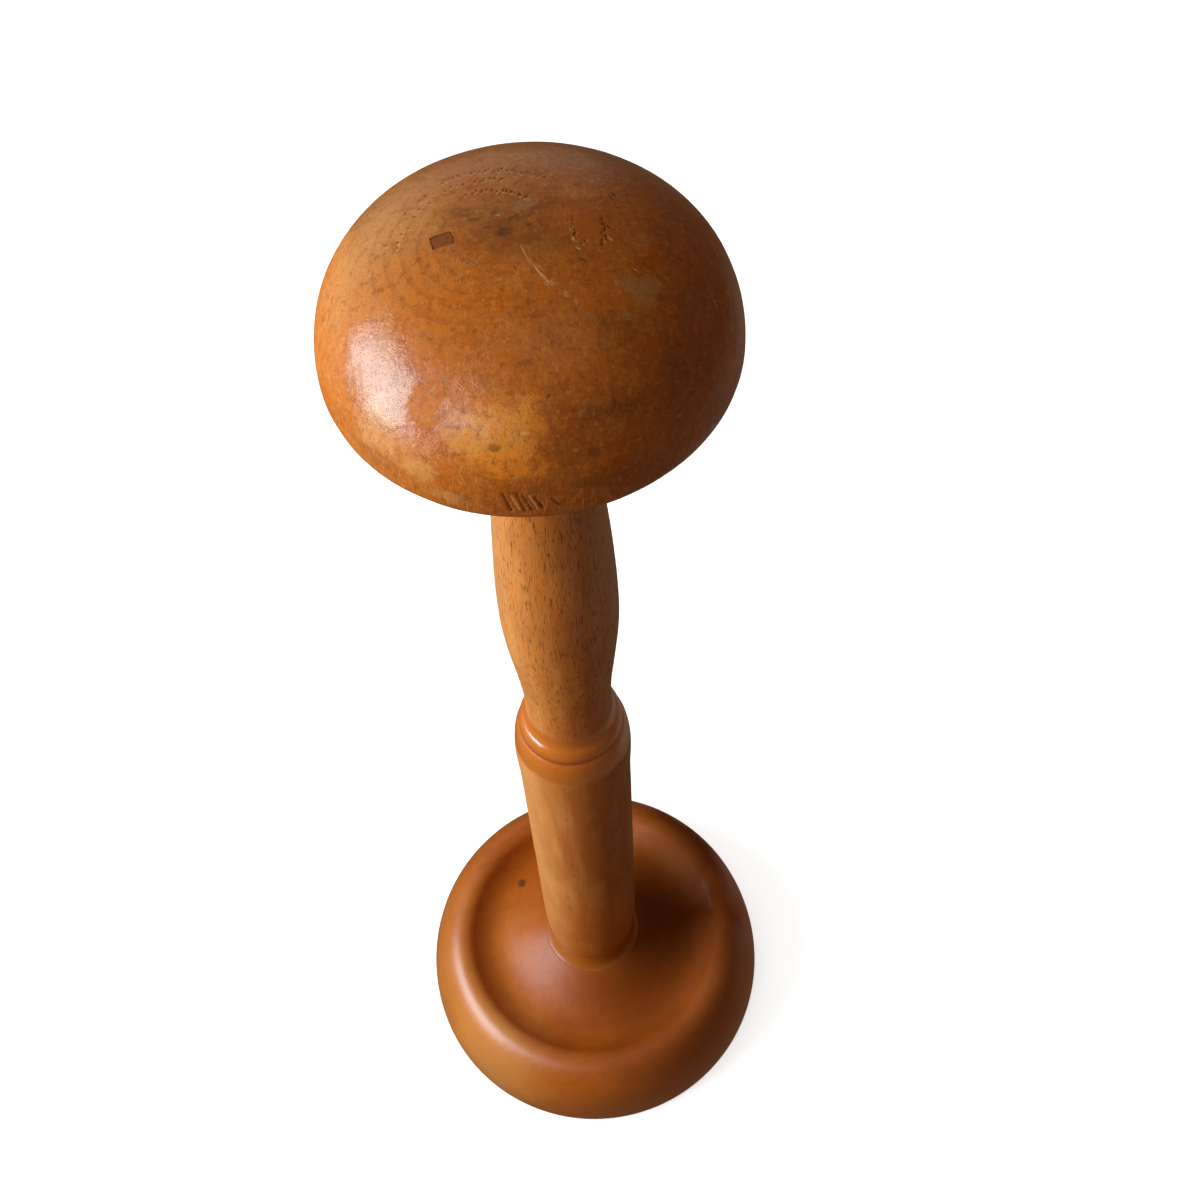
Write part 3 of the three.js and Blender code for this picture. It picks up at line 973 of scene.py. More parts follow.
    def scratches(self, wood: WoodPainter) -> None:
        """Adds fine light scratches, most of them at the left.

        Args:
            wood: The finish so far.
        """
        rubbed = wood.both(wood.patches(9.0, 0.42, 0.62, (11, 5, 0)), wood.spot(self.rubbed))
        for turn, shift in ((-24, 1), (48, 5), (110, 14), (8, 21)):
            lean = (0.2, 0.1, math.radians(turn))
            lines = wood.patches((0.12, 5.0, 5.0), 0.63, 0.73, (0, shift, 0), lean, drift=0.3)
            kept = wood.both(lines, rubbed)
            wood.tint(self.rubbed.color, kept, self.rubbed.strength)
            wood.raised(-0.012, kept)

    def rim(self, wood: WoodPainter) -> None:
        """Adds the worn rim: a little dirt with fine upright strokes through it.

        Args:
            wood: The finish so far.
        """
        rim = wood.between(*self.rim_heights, 5.0, ragged=3.0)
        wood.stain(self.rim_stain, rim, 0.25)
        strokes = wood.patches((0.5, 0.5, 5.0), 0.55, 0.7, (3, 9, 0))
        wood.tint(self.rim_dark, wood.both(strokes, rim), 0.4)
        pale_strokes = wood.patches((0.4, 0.4, 4.0), 0.6, 0.7, (9, 3, 0))
        wood.tint(self.rim_pale, wood.both(pale_strokes, rim), 0.4)
        wood.dull(0.5, rim)


@dataclass(frozen=True)
class SpindleFinish:
    """Shellac over fruitwood that hands have rubbed down to a satin.

    Long fibres run up it with short dark pores among them, and only the collar keeps its old gloss and its
    stronger orange.
    """

    ground: str = "#bd621a"
    pale: str = "#d8924a"
    dark: str = "#834014"
    pore: str = "#3f2110"
    dirt: str = "#3a1c0b"
    bare: str = "#d0a468"
    glossy: str = "#c46208"
    groove_darkening: str = "#a8764a"
    under_head_darkening: str = "#a98a6a"
    foot: str = "#98500f"
    washes: tuple[Mark, ...] = (
        # Painted sheen: the next two grey the shaft's right side as the dim room's reflection there, and the
        # lower one also darkens it as painted shade
        Mark((18, -1, 150), (13, 30, 110), "#7c5232", 0.45, 0, 0.5, 1.4),
        Mark((17, -2, 330), (11, 30, 90), "#b8947a", 0.72, 0, 0.5, 1.3),
        # Painted light: the next two pale the left edge and the front-left, as the window's light and sheen
        # there
        Mark((-19, -3, 220), (11.5, 24, 400), "#e0a464", 0.42, 0, 0.5, 1.4),
        Mark((-8, -17, 310), (9, 9, 90), "#e0903e", 0.3, 0, 0.5, 1.3),
        Mark((0, 0, 40), (60, 60, 60), "#b0600f", 0.5, 0, 0.5, 1.2),
    )
    foot_heights: Pair = (0.0, 51.0)
    collar_heights: Pair = (224.5, 245.5)
    groove_heights: Pair = (234.1, 235.7)
    upper_heights: Pair = (245.5, 420.0)
    top_heights: Pair = (385.0, 405.0)

    def build(self) -> Material:
        """Makes the material.

        Returns:
            The material.
        """
        wood = WoodPainter("worn_satin_fruitwood", self.ground, 0.5)
        wood.tint(self.pale, wood.patches((5.0, 5.0, 40.0), 0.42, 0.68, detail=3.0), 0.5)
        fibres = wood.patches((1.1, 1.1, 18.0), 0.48, 0.72, (9, 2, 0), detail=4.0, coarse=0.6)
        wood.tint(self.dark, fibres, 0.28)
        wood.tint(self.dark, wood.patches((9.0, 9.0, 20.0), 0.5, 0.7, (1, 7, 0), detail=3.0), 0.4)
        wood.marked(self.washes)
        # Real pores are about 0.05 mm wide, too fine to show, so these are drawn as wide as the photograph
        # shows their rows
        pores = wood.patches((0.26, 0.26, 3.0), 0.62, 0.74, (5, 1, 0), coarse=0.6)
        upper = wood.between(*self.upper_heights, 30.0)
        wood.tint(self.pore, pores, 0.2)
        long_pores = wood.patches((0.36, 0.36, 5.0), 0.55, 0.68, (2, 6, 1), detail=3.0)
        wood.tint(self.pore, wood.both(long_pores, upper), 0.7)
        dirt = wood.patches((2.5, 2.5, 5.0), 0.6, 0.72, (2, 2, 5), detail=4.0, coarse=0.65)
        wood.tint(self.pore, dirt, 0.35)
        collar = wood.between(*self.collar_heights, 3.2, ragged=1.6)
        wood.tint(self.glossy, collar, 0.8)
        # Darkens the groove
        wood.stain(self.groove_darkening, wood.between(*self.groove_heights, 0.9, ragged=0.2), 0.6)
        # Darkens the top of the shaft, just under the head
        wood.stain(self.under_head_darkening, wood.between(*self.top_heights, 14.0, ragged=3.0), 0.5)
        wood.dents(self.dirt, self.bare)
        blended = wood.between(*self.foot_heights, 20.0, ragged=2.0)
        wood.tint(self.foot, blended, 0.9)
        wood.dull(0.44, blended)
        wood.dull(0.3, collar)
        wood.coated(0.85, collar)
        wood.coated(0.12, blended)
        wood.raised(-0.03, pores)
        wood.raised(0.03, wood.patches((1.4, 1.4, 12.0), 0.2, 0.8, (1, 6, 3), detail=4.0, coarse=0.6))
        return wood.done(coat_roughness=0.2, sheen=0.42, coat_ior=2.1)


@dataclass(frozen=True)
class BaseFinish:
    """Shellac over fruitwood turned across its grain, with the gloss of a part that is seldom touched.

    The colour is even and deep, with faint turning lines; painted shade darkens the dish's right side and far
    wall, and painted light pales the rim and lip at the left.
    """

    ground: str = "#a8500a"
    golden: str = "#b86214"
    dark: str = "#7a3a10"
    pore: str = "#4a260e"
    dirt: str = "#3a1c0b"
    bare: str = "#cf9f66"
    along: Point = (0.0, math.radians(90), math.radians(12))
    washes: tuple[Mark, ...] = (
        # Painted shade: the next three darken the dish's right side and the shade beside the spindle's foot
        Mark((46, -8, 33), (58, 60, 40), "#6a2e08", 0.1, 0, 0.5, 1.6),
        Mark((16, -10, 34), (38, 46, 16), "#7c380a", 0.45, 0, 0.5, 0.9),
        Mark((30, -20, 34), (26, 36, 14), "#703208", 0.55, -30, 0.5, 1.2),
        # Painted light: the next two pale the rim at the left and the front-left, as the window's light and
        # sheen there
        Mark((-72, -30, 20), (38, 60, 40), "#cf8a3c", 0.36, 0, 0.5, 1.4),
        Mark((-48, -48, 26), (24, 20, 30), "#de9c56", 0.3, 45, 0.5, 1.4),
    )
    spot: Mark = Mark((-28.5, 26, 33), (1.6, 1.8, 4), "#42200e", 0.75, 0, 0.5, 0.9)
    # A darker crescent on the dish beside the spindle's foot
    foot_crescent: Mark = Mark((-21.3, -9.8, 38), (0.7, 5, 6), "#7a4418", 0.3, -29, 0.8, 1.2)
    # Only the gloss changes in the dish, so this mark's colour isn't laid
    dish: Mark = Mark((0, 0, 36), (52, 52, 30), "#7a3a10", 0, 0, 0.0, 0.1)
    # Painted shade: darkens the dish's far wall at the right, which faces the window
    far_wall: Mark = Mark((36, 20, 34), (20, 34, 12), "#643004", 0.66, -20, 0.3, 0.8)

    def build(self) -> Material:
        """Makes the material.

        Returns:
            The material.
        """
        wood = WoodPainter("glossy_shellac_fruitwood", self.ground, 0.34)
        along = self.along
        wood.tint(self.golden, wood.patches((26.0, 26.0, 60.0), 0.42, 0.7, turn=along, detail=3.0), 0.5)
        wood.tint(self.dark, wood.patches((3.0, 3.0, 30.0), 0.48, 0.75, (9, 2, 0), along, 4.0, 0.6), 0.26)
        wood.tint(self.dark, wood.patches(2.8, 0.5, 0.7, (3, 7, 5), detail=5.0, coarse=0.7), 0.25)
        wood.tint(self.golden, wood.patches(3.6, 0.5, 0.7, (8, 1, 2), detail=5.0, coarse=0.7), 0.3)
        wood.marked(self.washes)
        # Real pores are about 0.05 mm wide, too fine to show, so these are drawn seven times as wide
        pores = wood.patches((0.35, 0.35, 4.0), 0.64, 0.74, (5, 1, 0), along, coarse=0.6)
        wood.tint(self.pore, pores, 0.35)
        wood.marked((self.spot, self.foot_crescent))
        wood.dents(self.dirt, self.bare)
        wood.dull(0.5, wood.patches(9.0, 0.5, 0.7, (3, 3, 3), detail=4.0, coarse=0.65), 0.5)
        wood.coated(0.85, wood.patches(24.0, 0.2, 0.45, (2, 8, 1)))
        dish = wood.spot(self.dish)
        wood.dull(0.38, dish)
        wood.coated(0.25, dish)
        # Painted shade on the dish's far wall, whose gloss is also taken off
        far_wall = wood.spot(self.far_wall)
        wood.tint(self.far_wall.color, far_wall, self.far_wall.strength)
        wood.dull(0.7, far_wall)
        wood.coated(0.0, far_wall)
        wood.raised(-0.01, pores)
        wood.raised(0.04, wood.patches(4.0, 0.2, 0.8, (1, 6, 3), detail=3.0))
        return wood.done(coat_roughness=0.41, sheen=0.16, coat_ior=1.6)


@dataclass(frozen=True)
class PegFinish:
    """A peg of fruitwood cut off flush and polished over with the head.

    Its end grain drinks more stain than the wood round it, so it shows a shade darker.
    """

    name: str
    ground: str
    dark: str

    def build(self) -> Material:
        """Makes the material.

        Returns:
            The material.
        """
        wood = WoodPainter(self.name, self.ground, 0.42)
        wood.tint(self.dark, wood.patches((0.9, 0.5, 6.0), 0.4, 0.7, detail=4.0, coarse=0.65), 0.6)
        wood.tint(self.dark, wood.patches(2.6, 0.5, 0.7, (3, 1, 0), detail=3.0), 0.4)
        wood.coated(0.3, wood.patches(2.0, 0.3, 0.6, (2, 8, 1)))
        wood.raised(0.03, wood.patches(0.8, 0.2, 0.8, (1, 6, 3), detail=3.0))
        return wood.done(coat_roughness=0.2)


@dataclass(frozen=True)
class WedgeFinish:
    """Bare sawn fruitwood that light never reaches.

    It stays pale and dull, with the saw's fine lines across its fibres.
    """

    ground: str = "#b98b57"
    dark: str = "#8a5f33"
    sawn: str = "#b09a80"

    def build(self) -> Material:
        """Makes the material.

        Returns:
            The material.
        """
        wood = WoodPainter("bare_sawn_fruitwood", self.ground, 0.78)
        wood.tint(self.dark, wood.patches((0.6, 0.6, 12.0), 0.45, 0.7, detail=4.0, coarse=0.6), 0.55)
        saw_lines = wood.patches((8.0, 8.0, 0.5), 0.45, 0.65, (4, 4, 4), detail=1.0)
        wood.stain(self.sawn, saw_lines, 0.4)
        wood.raised(-0.04, saw_lines)
        return wood.done()


def fit(piece: Thing, node: str, slot: str) -> Thing:
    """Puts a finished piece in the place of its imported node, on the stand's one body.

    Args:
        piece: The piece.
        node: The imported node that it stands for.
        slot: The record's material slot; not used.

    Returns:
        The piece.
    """
    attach(piece, BODY)
    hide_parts(node)
    return piece


def corners(node: str) -> tuple[Vector, Vector]:
    """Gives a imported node's lowest and highest corner in millimetres."""
    low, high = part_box(node)
    return low / MM, high / MM


@dataclass
class Base:
    """The thick round base: a rounded rim, a crisp step and a dished top, bored for the spindle."""

    radius: float
    seat_height: float
    widest_height: float = 3.5
    foot_inset: float = 2.5
    roll_height: float = 37.2
    crest_radius: float = 54.5
    lip_radius: float = 51.2
    lip_height: float = 36.3
    step_depth: float = 1.4
    step_slant: float = 1.6
    worn: float = 1.0
    dish_radius: float = 42.0
    dish_height: float = 31.8
    sweep_out: float = 7.0
    sweep_in: float = 7.8
    sweep_drop: float = 4.1
    seat_edge: float = 19.05
    bore: float = 9.3
    hollow_radius: float = 50.0
    hollow_depth: float = 1.5
    hidden_gap: float = 5.0
    seen_gap: float = 0.7
    segments: int = 380

    def outline(self) -> Outline:
        """Draws the outline from the bore's foot, out round the rim and back over the dish.

        Returns:
            The outline.
        """
        rise = self.roll_height - self.widest_height
        reach = self.radius - self.crest_radius
        step_radius = self.lip_radius - self.step_slant
        crest_to_lip = (self.crest_radius + self.lip_radius) / 2
        step_to_dish = (step_radius + self.dish_radius) / 2
        outline = Outline(self.bore, self.hollow_depth)
        outline.line(self.hollow_radius, self.hollow_depth)
        outline.line(self.hollow_radius + self.hollow_depth, 0.0)
        outline.line(self.radius - self.foot_inset, 0.0)
        outline.bend((self.radius, 0.0), (self.radius, self.widest_height))
        outline.curve(
            (self.radius, self.widest_height + QUARTER_ROUND * rise),
            (self.crest_radius + QUARTER_ROUND * reach, self.roll_height),
            (self.crest_radius, self.roll_height),
        )
        outline.bend((crest_to_lip, self.roll_height), (self.lip_radius, self.lip_height), self.worn)
        outline.line(step_radius, self.lip_height - self.step_depth, self.worn)
        outline.bend((step_to_dish, self.dish_height), (self.dish_radius, self.dish_height))
        outline.curve(
            (self.dish_radius - self.sweep_out, self.dish_height),
            (self.seat_edge + self.sweep_in, self.seat_height - self.sweep_drop),
            (self.seat_edge, self.seat_height),
        )
        outline.line(self.bore, self.seat_height)
        return outline.line(self.bore, self.hollow_depth)

    def gap(self, radius: float, height: float) -> float:
        """Spaces the rings widely in the bore and under the base, where nobody sees them."""
        hidden = height <= self.hollow_depth or radius <= self.bore
        return self.hidden_gap if hidden else self.seen_gap

    def build(self, turning: TurningTree) -> Thing:
        """Turns the base and dresses it.

        Args:
            turning: The turning tree.

        Returns:
            The fitted base.
        """
        piece = turning.turn("base_turned", self.outline().rows(self.gap), {
            "Segments": self.segments,
            "Crowding": 0.3,
            "Wander": 0.25 * MM,
            "Wander Size": 30 * MM,
            "Flat Below": 2 * MM,
            "Seed": 3.0,
            "Wood": BaseFinish().build(),
        })
        return fit(piece, "base", "base_wood")


@dataclass
class Kerf:
    """The tapered slot that a wedge fills across a tenon, with room for glue.

    Attributes:
        end: Height of the tenon's end, where the wedge goes in.
        tip: Height of the wedge's tip.
        thick: The wedge's thickness at the tenon's end.
        thin: Its thickness at its tip.
        breadth: Breadth of the cutter, which passes both sides of the tenon.
        past_end: How far the cutter starts outside the tenon's end.
    """

    end: float
    tip: float
    thick: float = 3.2
    thin: float = 1.2
    breadth: float = 30.0
    past_end: float = 1.0

    def cutter(self, name: str) -> Thing:
        """Makes the kerf's solid.

        Args:
            name: Name of the object.

        Returns:
            An object that isn't linked to the scene.
        """
        up = math.copysign(1.0, self.tip - self.end)
        slope = (self.thin - self.thick) / 2 / abs(self.tip - self.end)
        start, stop = self.end - up * self.past_end, self.tip + up * GLUE_GAP
        half_start = self.thick / 2 + GLUE_GAP - slope * self.past_end
        half_stop = self.thin / 2 + GLUE_GAP
        side = self.breadth / 2
        low, high = sorted((start, stop))
        kerf = prism(name, [(-1, -side), (1, -side), (1, side), (-1, side)], low, high)
        for vertex in kerf.data.vertices:
            half = half_start if abs(vertex.co.z - start * MM) < SAME else half_stop
            vertex.co.x = math.copysign(half * MM, vertex.co.x)
        return kerf


@dataclass
class Spindle:
    """The turned spindle: straight shaft, grooved collar, thin neck, swelled upper shaft and two tenons."""

    foot: float
    foot_radius: float = 16.2
    foot_length: float = 36.0
    foot_closed: float = 0.25
    flare_radius: float = 19.1
    flare_height: float = 9.0
    flare_foot: Pair = (-1.9, 1.0)
    flare_rise: float = 3.2
    shaft_radius: float = 18.15
    collar_radius: float = 18.5
    collar_height: float = 177.0
    collar_swell: float = 16.0
    shoulder_length: float = 28.5
    groove_drop: float = 12.2
    groove_radius: float = 15.7
    lip_drop: float = 4.6
    bead_height: float = 5.1
    bead_swell: float = 0.5
    bead_end: float = -1.1
    hollow_rise: float = 6.8
    neck_radius: float = 13.1
    neck_length: float = 4.0
    swell_radius: float = 16.4
    swell_rise: float = 51.5
    top_radius: float = 11.8
    top_rise: float = 98.0
    foot_tenon_radius: float = 9.0
    foot_tenon_end: float = 2.0
    head_tenon_radius: float = 8.5
    head_tenon_length: float = 22.0
    hidden_gap: float = 6.0
    shaft_gap: float = 1.1
    groove_gap: float = 0.22
    groove_reach: float = 6.0
    nicks: int = 46
    nick_half_width: float = 0.28
    segments: int = 240

    # Handles and ends of the curves at the groove: how far out from its bottom and how far up, in millimetres
    LIP = ((1.5, -3.0), (1.3, -1.7), (0.5, -0.7))
    GROOVE = ((0.12, -0.25), (0.16, 0.4))

    # Handle and end of the hollow over the bead: how far out from the groove's bottom and over the bead
    HOLLOW = ((-2.0, 0.9), (-2.25, 2.6))

    # Shares of the bead's swell and height at its two handles
    BEAD = ((1.0, 0.35), (0.3, 0.72))

    @property
    def crease_height(self) -> float:
        """Height of the crease between the collar and the neck."""
        return self.foot + self.collar_height + self.shoulder_length

    @property
    def top(self) -> float:
        """Height of the spindle's top, where the head sits."""
        return self.crease_height + self.neck_length + self.swell_rise + self.top_rise

    def shoulder(self, high: float) -> Callable[[float], Vector]:
        """Gives the rule of the collar's rounded shoulder.

        Args:
            high: Height where the shoulder stops.

        Returns:
            The rule, which runs up from the collar's widest ring.
        """
        start = self.foot + self.collar_height
        narrowing = self.collar_radius - self.neck_radius

        def rule(t: float) -> Vector:
            """Gives the radius and height at a share of the way up."""
            rise = (high - start) * t
            return Vector((self.collar_radius - narrowing * (rise / self.shoulder_length) ** 2, start + rise))

        return rule

    def outline(self) -> Outline:
        """Draws the outline from the foot tenon's end up to the head tenon's end.

        Returns:
            The outline.
        """
        shoulder = self.foot - self.foot_closed
        outline = Outline(0.0, self.foot_tenon_end)
        outline.line(self.foot_tenon_radius, self.foot_tenon_end)
        outline.line(self.foot_tenon_radius, shoulder)
        outline.line(self.flare_radius, shoulder)
        outline.curve(
            (self.flare_radius + self.flare_foot[0], self.foot + self.flare_foot[1]),
            (self.foot_radius, self.foot + self.flare_rise),
            (self.foot_radius, self.foot + self.flare_height),
        )
        shaft_foot = (self.shaft_radius, self.foot + self.foot_length)
        outline.bend((self.shaft_radius, self.foot + self.foot_length / 2), shaft_foot)
        self.collar(outline)
        outline.ease(self.swell_radius, self.crease_height + self.neck_length + self.swell_rise)
        outline.ease(self.top_radius, self.top)
        outline.line(self.head_tenon_radius, self.top)
        outline.line(self.head_tenon_radius, self.top + self.head_tenon_length)
        return outline.line(0.0, self.top + self.head_tenon_length)

    def collar(self, outline: Outline) -> None:
        """Draws the shaft, the collar's shoulder, lip, groove and bead, and the foot of the neck.

        Args:
            outline: The outline so far.
        """
        radius, groove = self.groove_radius, self.crease_height - self.groove_drop
        collar = self.foot + self.collar_height
        bead_top = groove + self.bead_height
        outline.line(self.shaft_radius, collar - self.collar_swell)
        outline.ease(self.collar_radius, collar)
        outline.along(self.shoulder(groove - self.lip_drop))
        outline.curve(*((radius + out, groove + up) for out, up in self.LIP))
        outline.bend(*((radius + out, groove + up) for out, up in self.GROOVE))
        outline.curve(
            *((radius + out * self.bead_swell, groove + up * self.bead_height) for out, up in self.BEAD),
            (radius + self.bead_end, bead_top),
        )
        outline.bend(*((radius + out, bead_top + up) for out, up in self.HOLLOW))
        neck = (self.neck_radius, self.crease_height + self.neck_length)
        outline.bend((self.neck_radius, bead_top + self.hollow_rise), neck)

    def gap(self, radius: float, height: float) -> float:
        """Spaces the rings closely at the groove and widely on the hidden tenons.

        Args:
            radius: Radius of a ring, in millimetres.
            height: Its height.

        Returns:
            The distance to the next ring.
        """
        if radius <= self.foot_tenon_radius:
            return self.hidden_gap
        by_groove = abs(height - self.crease_height + self.groove_drop - 1) < self.groove_reach
        return self.groove_gap if by_groove else self.shaft_gap

    def dents(self) -> list[Dent]:
        """Lists the short upright nicks in the upper shaft.

        Returns:
            The nicks.
        """
        chance = random.Random(11)
        dents = []
        for _ in range(self.nicks):
            height = chance.uniform(self.crease_height + 8, self.top - 4)
            angle = chance.uniform(0, math.tau)
            length = chance.uniform(0.8, 3.0)
            x, y = around(self.radius_at(height), angle)
            path = ((x, y, height), (x, y, height + length))
            dents.append(Dent(path, self.nick_half_width, chance.uniform(0.08, 0.16)))
        return dents

    def radius_at(self, height: float) -> float:
        """Gives the radius of the outline's outermost ring near a height."""
        points = [point for run, _ in self.outline().runs for point in run]
        return min(points, key=lambda point: abs(point.y - height) - point.x * 1e-3).x

    def build(self, turning: TurningTree, top_of_tenon: float) -> Thing:
        """Turns the spindle, cuts its kerfs and dresses it.

        Args:
            turning: The turning tree.
            top_of_tenon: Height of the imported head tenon's end.

        Returns:
            The fitted spindle.
        """
        _, foot_tip = corners("base_wedge")
        head_tip, _ = corners("head_wedge")
        kerfs = joined("kerfs", [
            Kerf(self.foot_tenon_end, foot_tip.z).cutter("foot_kerf"),
            Kerf(top_of_tenon, head_tip.z).cutter("head_kerf"),
        ])
        piece = turning.turn("spindle_turned", self.outline().rows(self.gap), {
            "Segments": self.segments,
            "Wander": 0.3 * MM,
            "Wander Size": 26 * MM,
            "Seed": 8.0,
            "Dents": edge_mesh("spindle_dents", self.dents()),
            "Cutters": kerfs,
            "Wood": SpindleFinish().build(),
        })
        return fit(piece, "column", "column_wood")


def dress_wedges() -> list[Thing]:
    """Gives the two packed wedges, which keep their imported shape, their bare wood.

    Returns:
        The wedges.
    """
    bare = WedgeFinish().build()
    wedges = [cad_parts[node] for node in ("base_wedge", "head_wedge")]
    for wedge in wedges:
        wedge.data.materials.clear()
        wedge.data.materials.append(bare)
    return wedges


@dataclass
class CrownPeg:
    """A square peg let into the crown, with a hand-cut outline."""

    name: str
    x: float
    y: float
    width: float
    length: float
    turn: float
    side_gap: float
    end_gap: float
    sunk: float
    finish: PegFinish
    slot: str
    seed: int
    depth: float = 8.0
    over_crown: float = 5.0
    wobble: float = 0.12
    per_side: int = 7

    def outline(self, grown_x: float, grown_y: float) -> list[Pair]:
        """Draws the hand-cut outline.

        Args:
            grown_x: How far its sides move out, in millimetres.
            grown_y: How far its ends move out.

        Returns:
            Its corners in X and Y.
        """
        chance = random.Random(self.seed)
        half_x, half_y = self.width / 2 + grown_x, self.length / 2 + grown_y
        turn = math.radians(self.turn)
        points = []
        for side in range(4):
            for step in range(self.per_side):
                t = 2 * step / self.per_side - 1
                u, v = ((t, -1.0), (1.0, t), (-t, 1.0), (-1.0, -t))[side]
                x = u * half_x + chance.uniform(-self.wobble, self.wobble)
                y = v * half_y + chance.uniform(-self.wobble, self.wobble)
                points.append((self.x + x * math.cos(turn) - y * math.sin(turn),
                               self.y + x * math.sin(turn) + y * math.cos(turn)))
        return points

    def pocket(self, top: float) -> Thing:
        """Makes the solid of the pocket that the peg sits in, under a crown of a given height."""
        return prism(f"{self.name}_pocket", self.outline(0.0, 0.0), top - self.depth, top + self.over_crown)

    def build(
        self, turning: TurningTree, rings: Sequence[Vector], inputs: dict[str, object], top: float
    ) -> Thing:
        """Cuts the peg from the same turned blank as the head, so that its end follows the crown.

        Args:
            turning: The turning tree.
            rings: The head's rings.
            inputs: The head's inputs to the turning tree.
            top: Height of the crown.

        Returns:
            The fitted peg.
        """
        own = {**inputs, "Cutters": None, "Wood": self.finish.build()}
        piece = turning.turn(self.name, rings, own)
        outline = self.outline(-self.side_gap, -self.end_gap)
        stock = prism(f"{self.name}_stock", outline, top - self.depth + GLUE_GAP, top + self.over_crown)
        cut = piece.modifiers.new("cut", "BOOLEAN")
        cut.operation, cut.solver, cut.object = "INTERSECT", "EXACT", stock
        settled(piece)
        piece.data.transform(Matrix.Translation((0, 0, -self.sunk * MM)))
        return fit(piece, self.name.replace("_polished", ""), self.slot)


@dataclass
class Head:
    """The mushroom head, with its blind socket, its two pegs and the marks of its years."""

    underside: float
    radius: float
    top: float
    widest_height: float = 9.6
    seat_radius: float = 14.1
    fullness: float = 0.665
    socket_radius: float = 8.8
    socket_depth: float = 22.3
    segments: int = 500
    pith: Pair = (-7.2, -0.4)
    pegs: list[CrownPeg] = field(default_factory=lambda: [
        CrownPeg("left_crown_peg_polished", -15.1, 1.2, 4.4, 3.5, 8.0, 0.1, 0.1, 0.12,
                 PegFinish("dark_stained_peg", "#8a4a1c", "#4f260f"), "dark_peg_wood", 5),
        CrownPeg("right_crown_peg_polished", 13.4, 0.5, 5.9, 7.4, 2.0, 0.1, 0.04, 0.01,
                 PegFinish("polished_peg", "#ab5910", "#8f4a14"), "peg_wood", 6),
    ])
    hidden_gap: float = 4.0
    under_gap: float = 1.2
    rim_gap: float = 0.3
    rim_rise: float = 7.0
    crown_gap: float = 0.32
    crown_reach: float = 27.0
    dome_gap: float = 0.52
    nick_depth: float = 0.22
    nick_lean: float = 1.9
    knocks: int = 36

    # Places in X and Y that the scuff passes, and the ends of the flat knock behind the crown
    SCUFF = ((-0.7, -1.4), (0.2, -4.5), (0.7, -6.1), (1.8, -8.1), (2.6, -10.0), (3.4, -11.2), (4.2, -12.6))
    FLAT_KNOCK = ((25.4, 26.0), (26.6, 26.6))

    # Each nick's azimuth in degrees, its upper and lower height, its half width and its tone
    RIM_NICKS = (
        (-101.0, 416.2, 411.4, 0.42, Tone.DIRTY),
        (-99.2, 415.6, 411.6, 0.34, Tone.BARE),
        (-97.6, 416.4, 411.2, 0.42, Tone.DIRTY),
        (-96.0, 415.8, 411.4, 0.36, Tone.DIRTY),
        (-94.7, 415.8, 411.6, 0.4, Tone.BARE),
        (-93.2, 415.2, 412.0, 0.45, Tone.DIRTY),
        (-89.0, 414.4, 412.4, 0.4, Tone.DIRTY),
    )

    # Each ring's radius about the pith, its first and last angle in degrees, and how sparse its pores are
    TORN_RINGS = (
        (21.0, 110, 50, 1.0),
        (17.8, 112, 72, 1.3),
        (14.0, 100, 46, 1.4),
        (19.0, 172, 112, 2.4),
        (16.6, 170, 120, 3.0),
    )

    # Places in X and Y of the dashes round the right peg, most of them dark past the middle of the peg
    PEG_DASHES = (
        (9.9, -2.1), (10.8, -0.6), (12.4, -2.7), (11.8, -3.4), (10.5, -4.6),
        (16.4, 3.2), (16.1, -0.4), (15.7, -3.4), (17.1, 1.2), (16.8, -2.0),
        (16.0, 1.9), (16.3, -1.3), (15.8, -2.6), (16.6, 0.4), (10.2, 1.0),
    )
    PEG_MIDDLE = 14.0

    def outline(self) -> Outline:
        """Draws the outline from the socket's end, out under the head and over the dome.

        Returns:
            The outline.
        """
        outline = Outline(0.0, self.underside + self.socket_depth)
        outline.line(self.socket_radius, self.underside + self.socket_depth)
        outline.line(self.socket_radius, self.underside)
        outline.line(self.seat_radius, self.underside)
        widest = self.underside + self.widest_height
        outline.curve(
            (self.seat_radius + QUARTER_ROUND * (self.radius - self.seat_radius), self.underside),
            (self.radius, self.underside + self.widest_height * (1 - QUARTER_ROUND)),
            (self.radius, widest),
        )
        return outline.curve(
            (self.radius, widest + self.fullness * (self.top - widest)),
            (self.fullness * self.radius, self.top),
            (0.0, self.top),
        )

    @cached_property
    def dome(self) -> list[Vector]:
        """Radii and heights along the dome."""
        return self.outline().runs[-1][0]

    def on_dome(self, x: float, y: float) -> Point:
        """Gives the point of the dome over a place on the plan."""
        nearest = min(self.dome, key=lambda point: abs(point.x - math.hypot(x, y)))
        return x, y, nearest.y

    def on_rim(self, azimuth: float, height: float) -> Point:
        """Gives the point of the dome's side at an azimuth in degrees and a height."""
        nearest = min(self.dome, key=lambda point: abs(point.y - height))
        return *around(nearest.x, math.radians(azimuth)), height

    def dent(self, places: Sequence[Pair], half_width: float, depth: float, tone: Tone = Tone.DIRTY) -> Dent:
        """Presses a dent into the dome along places on the plan."""
        return Dent(tuple(self.on_dome(*place) for place in places), half_width, depth, tone)

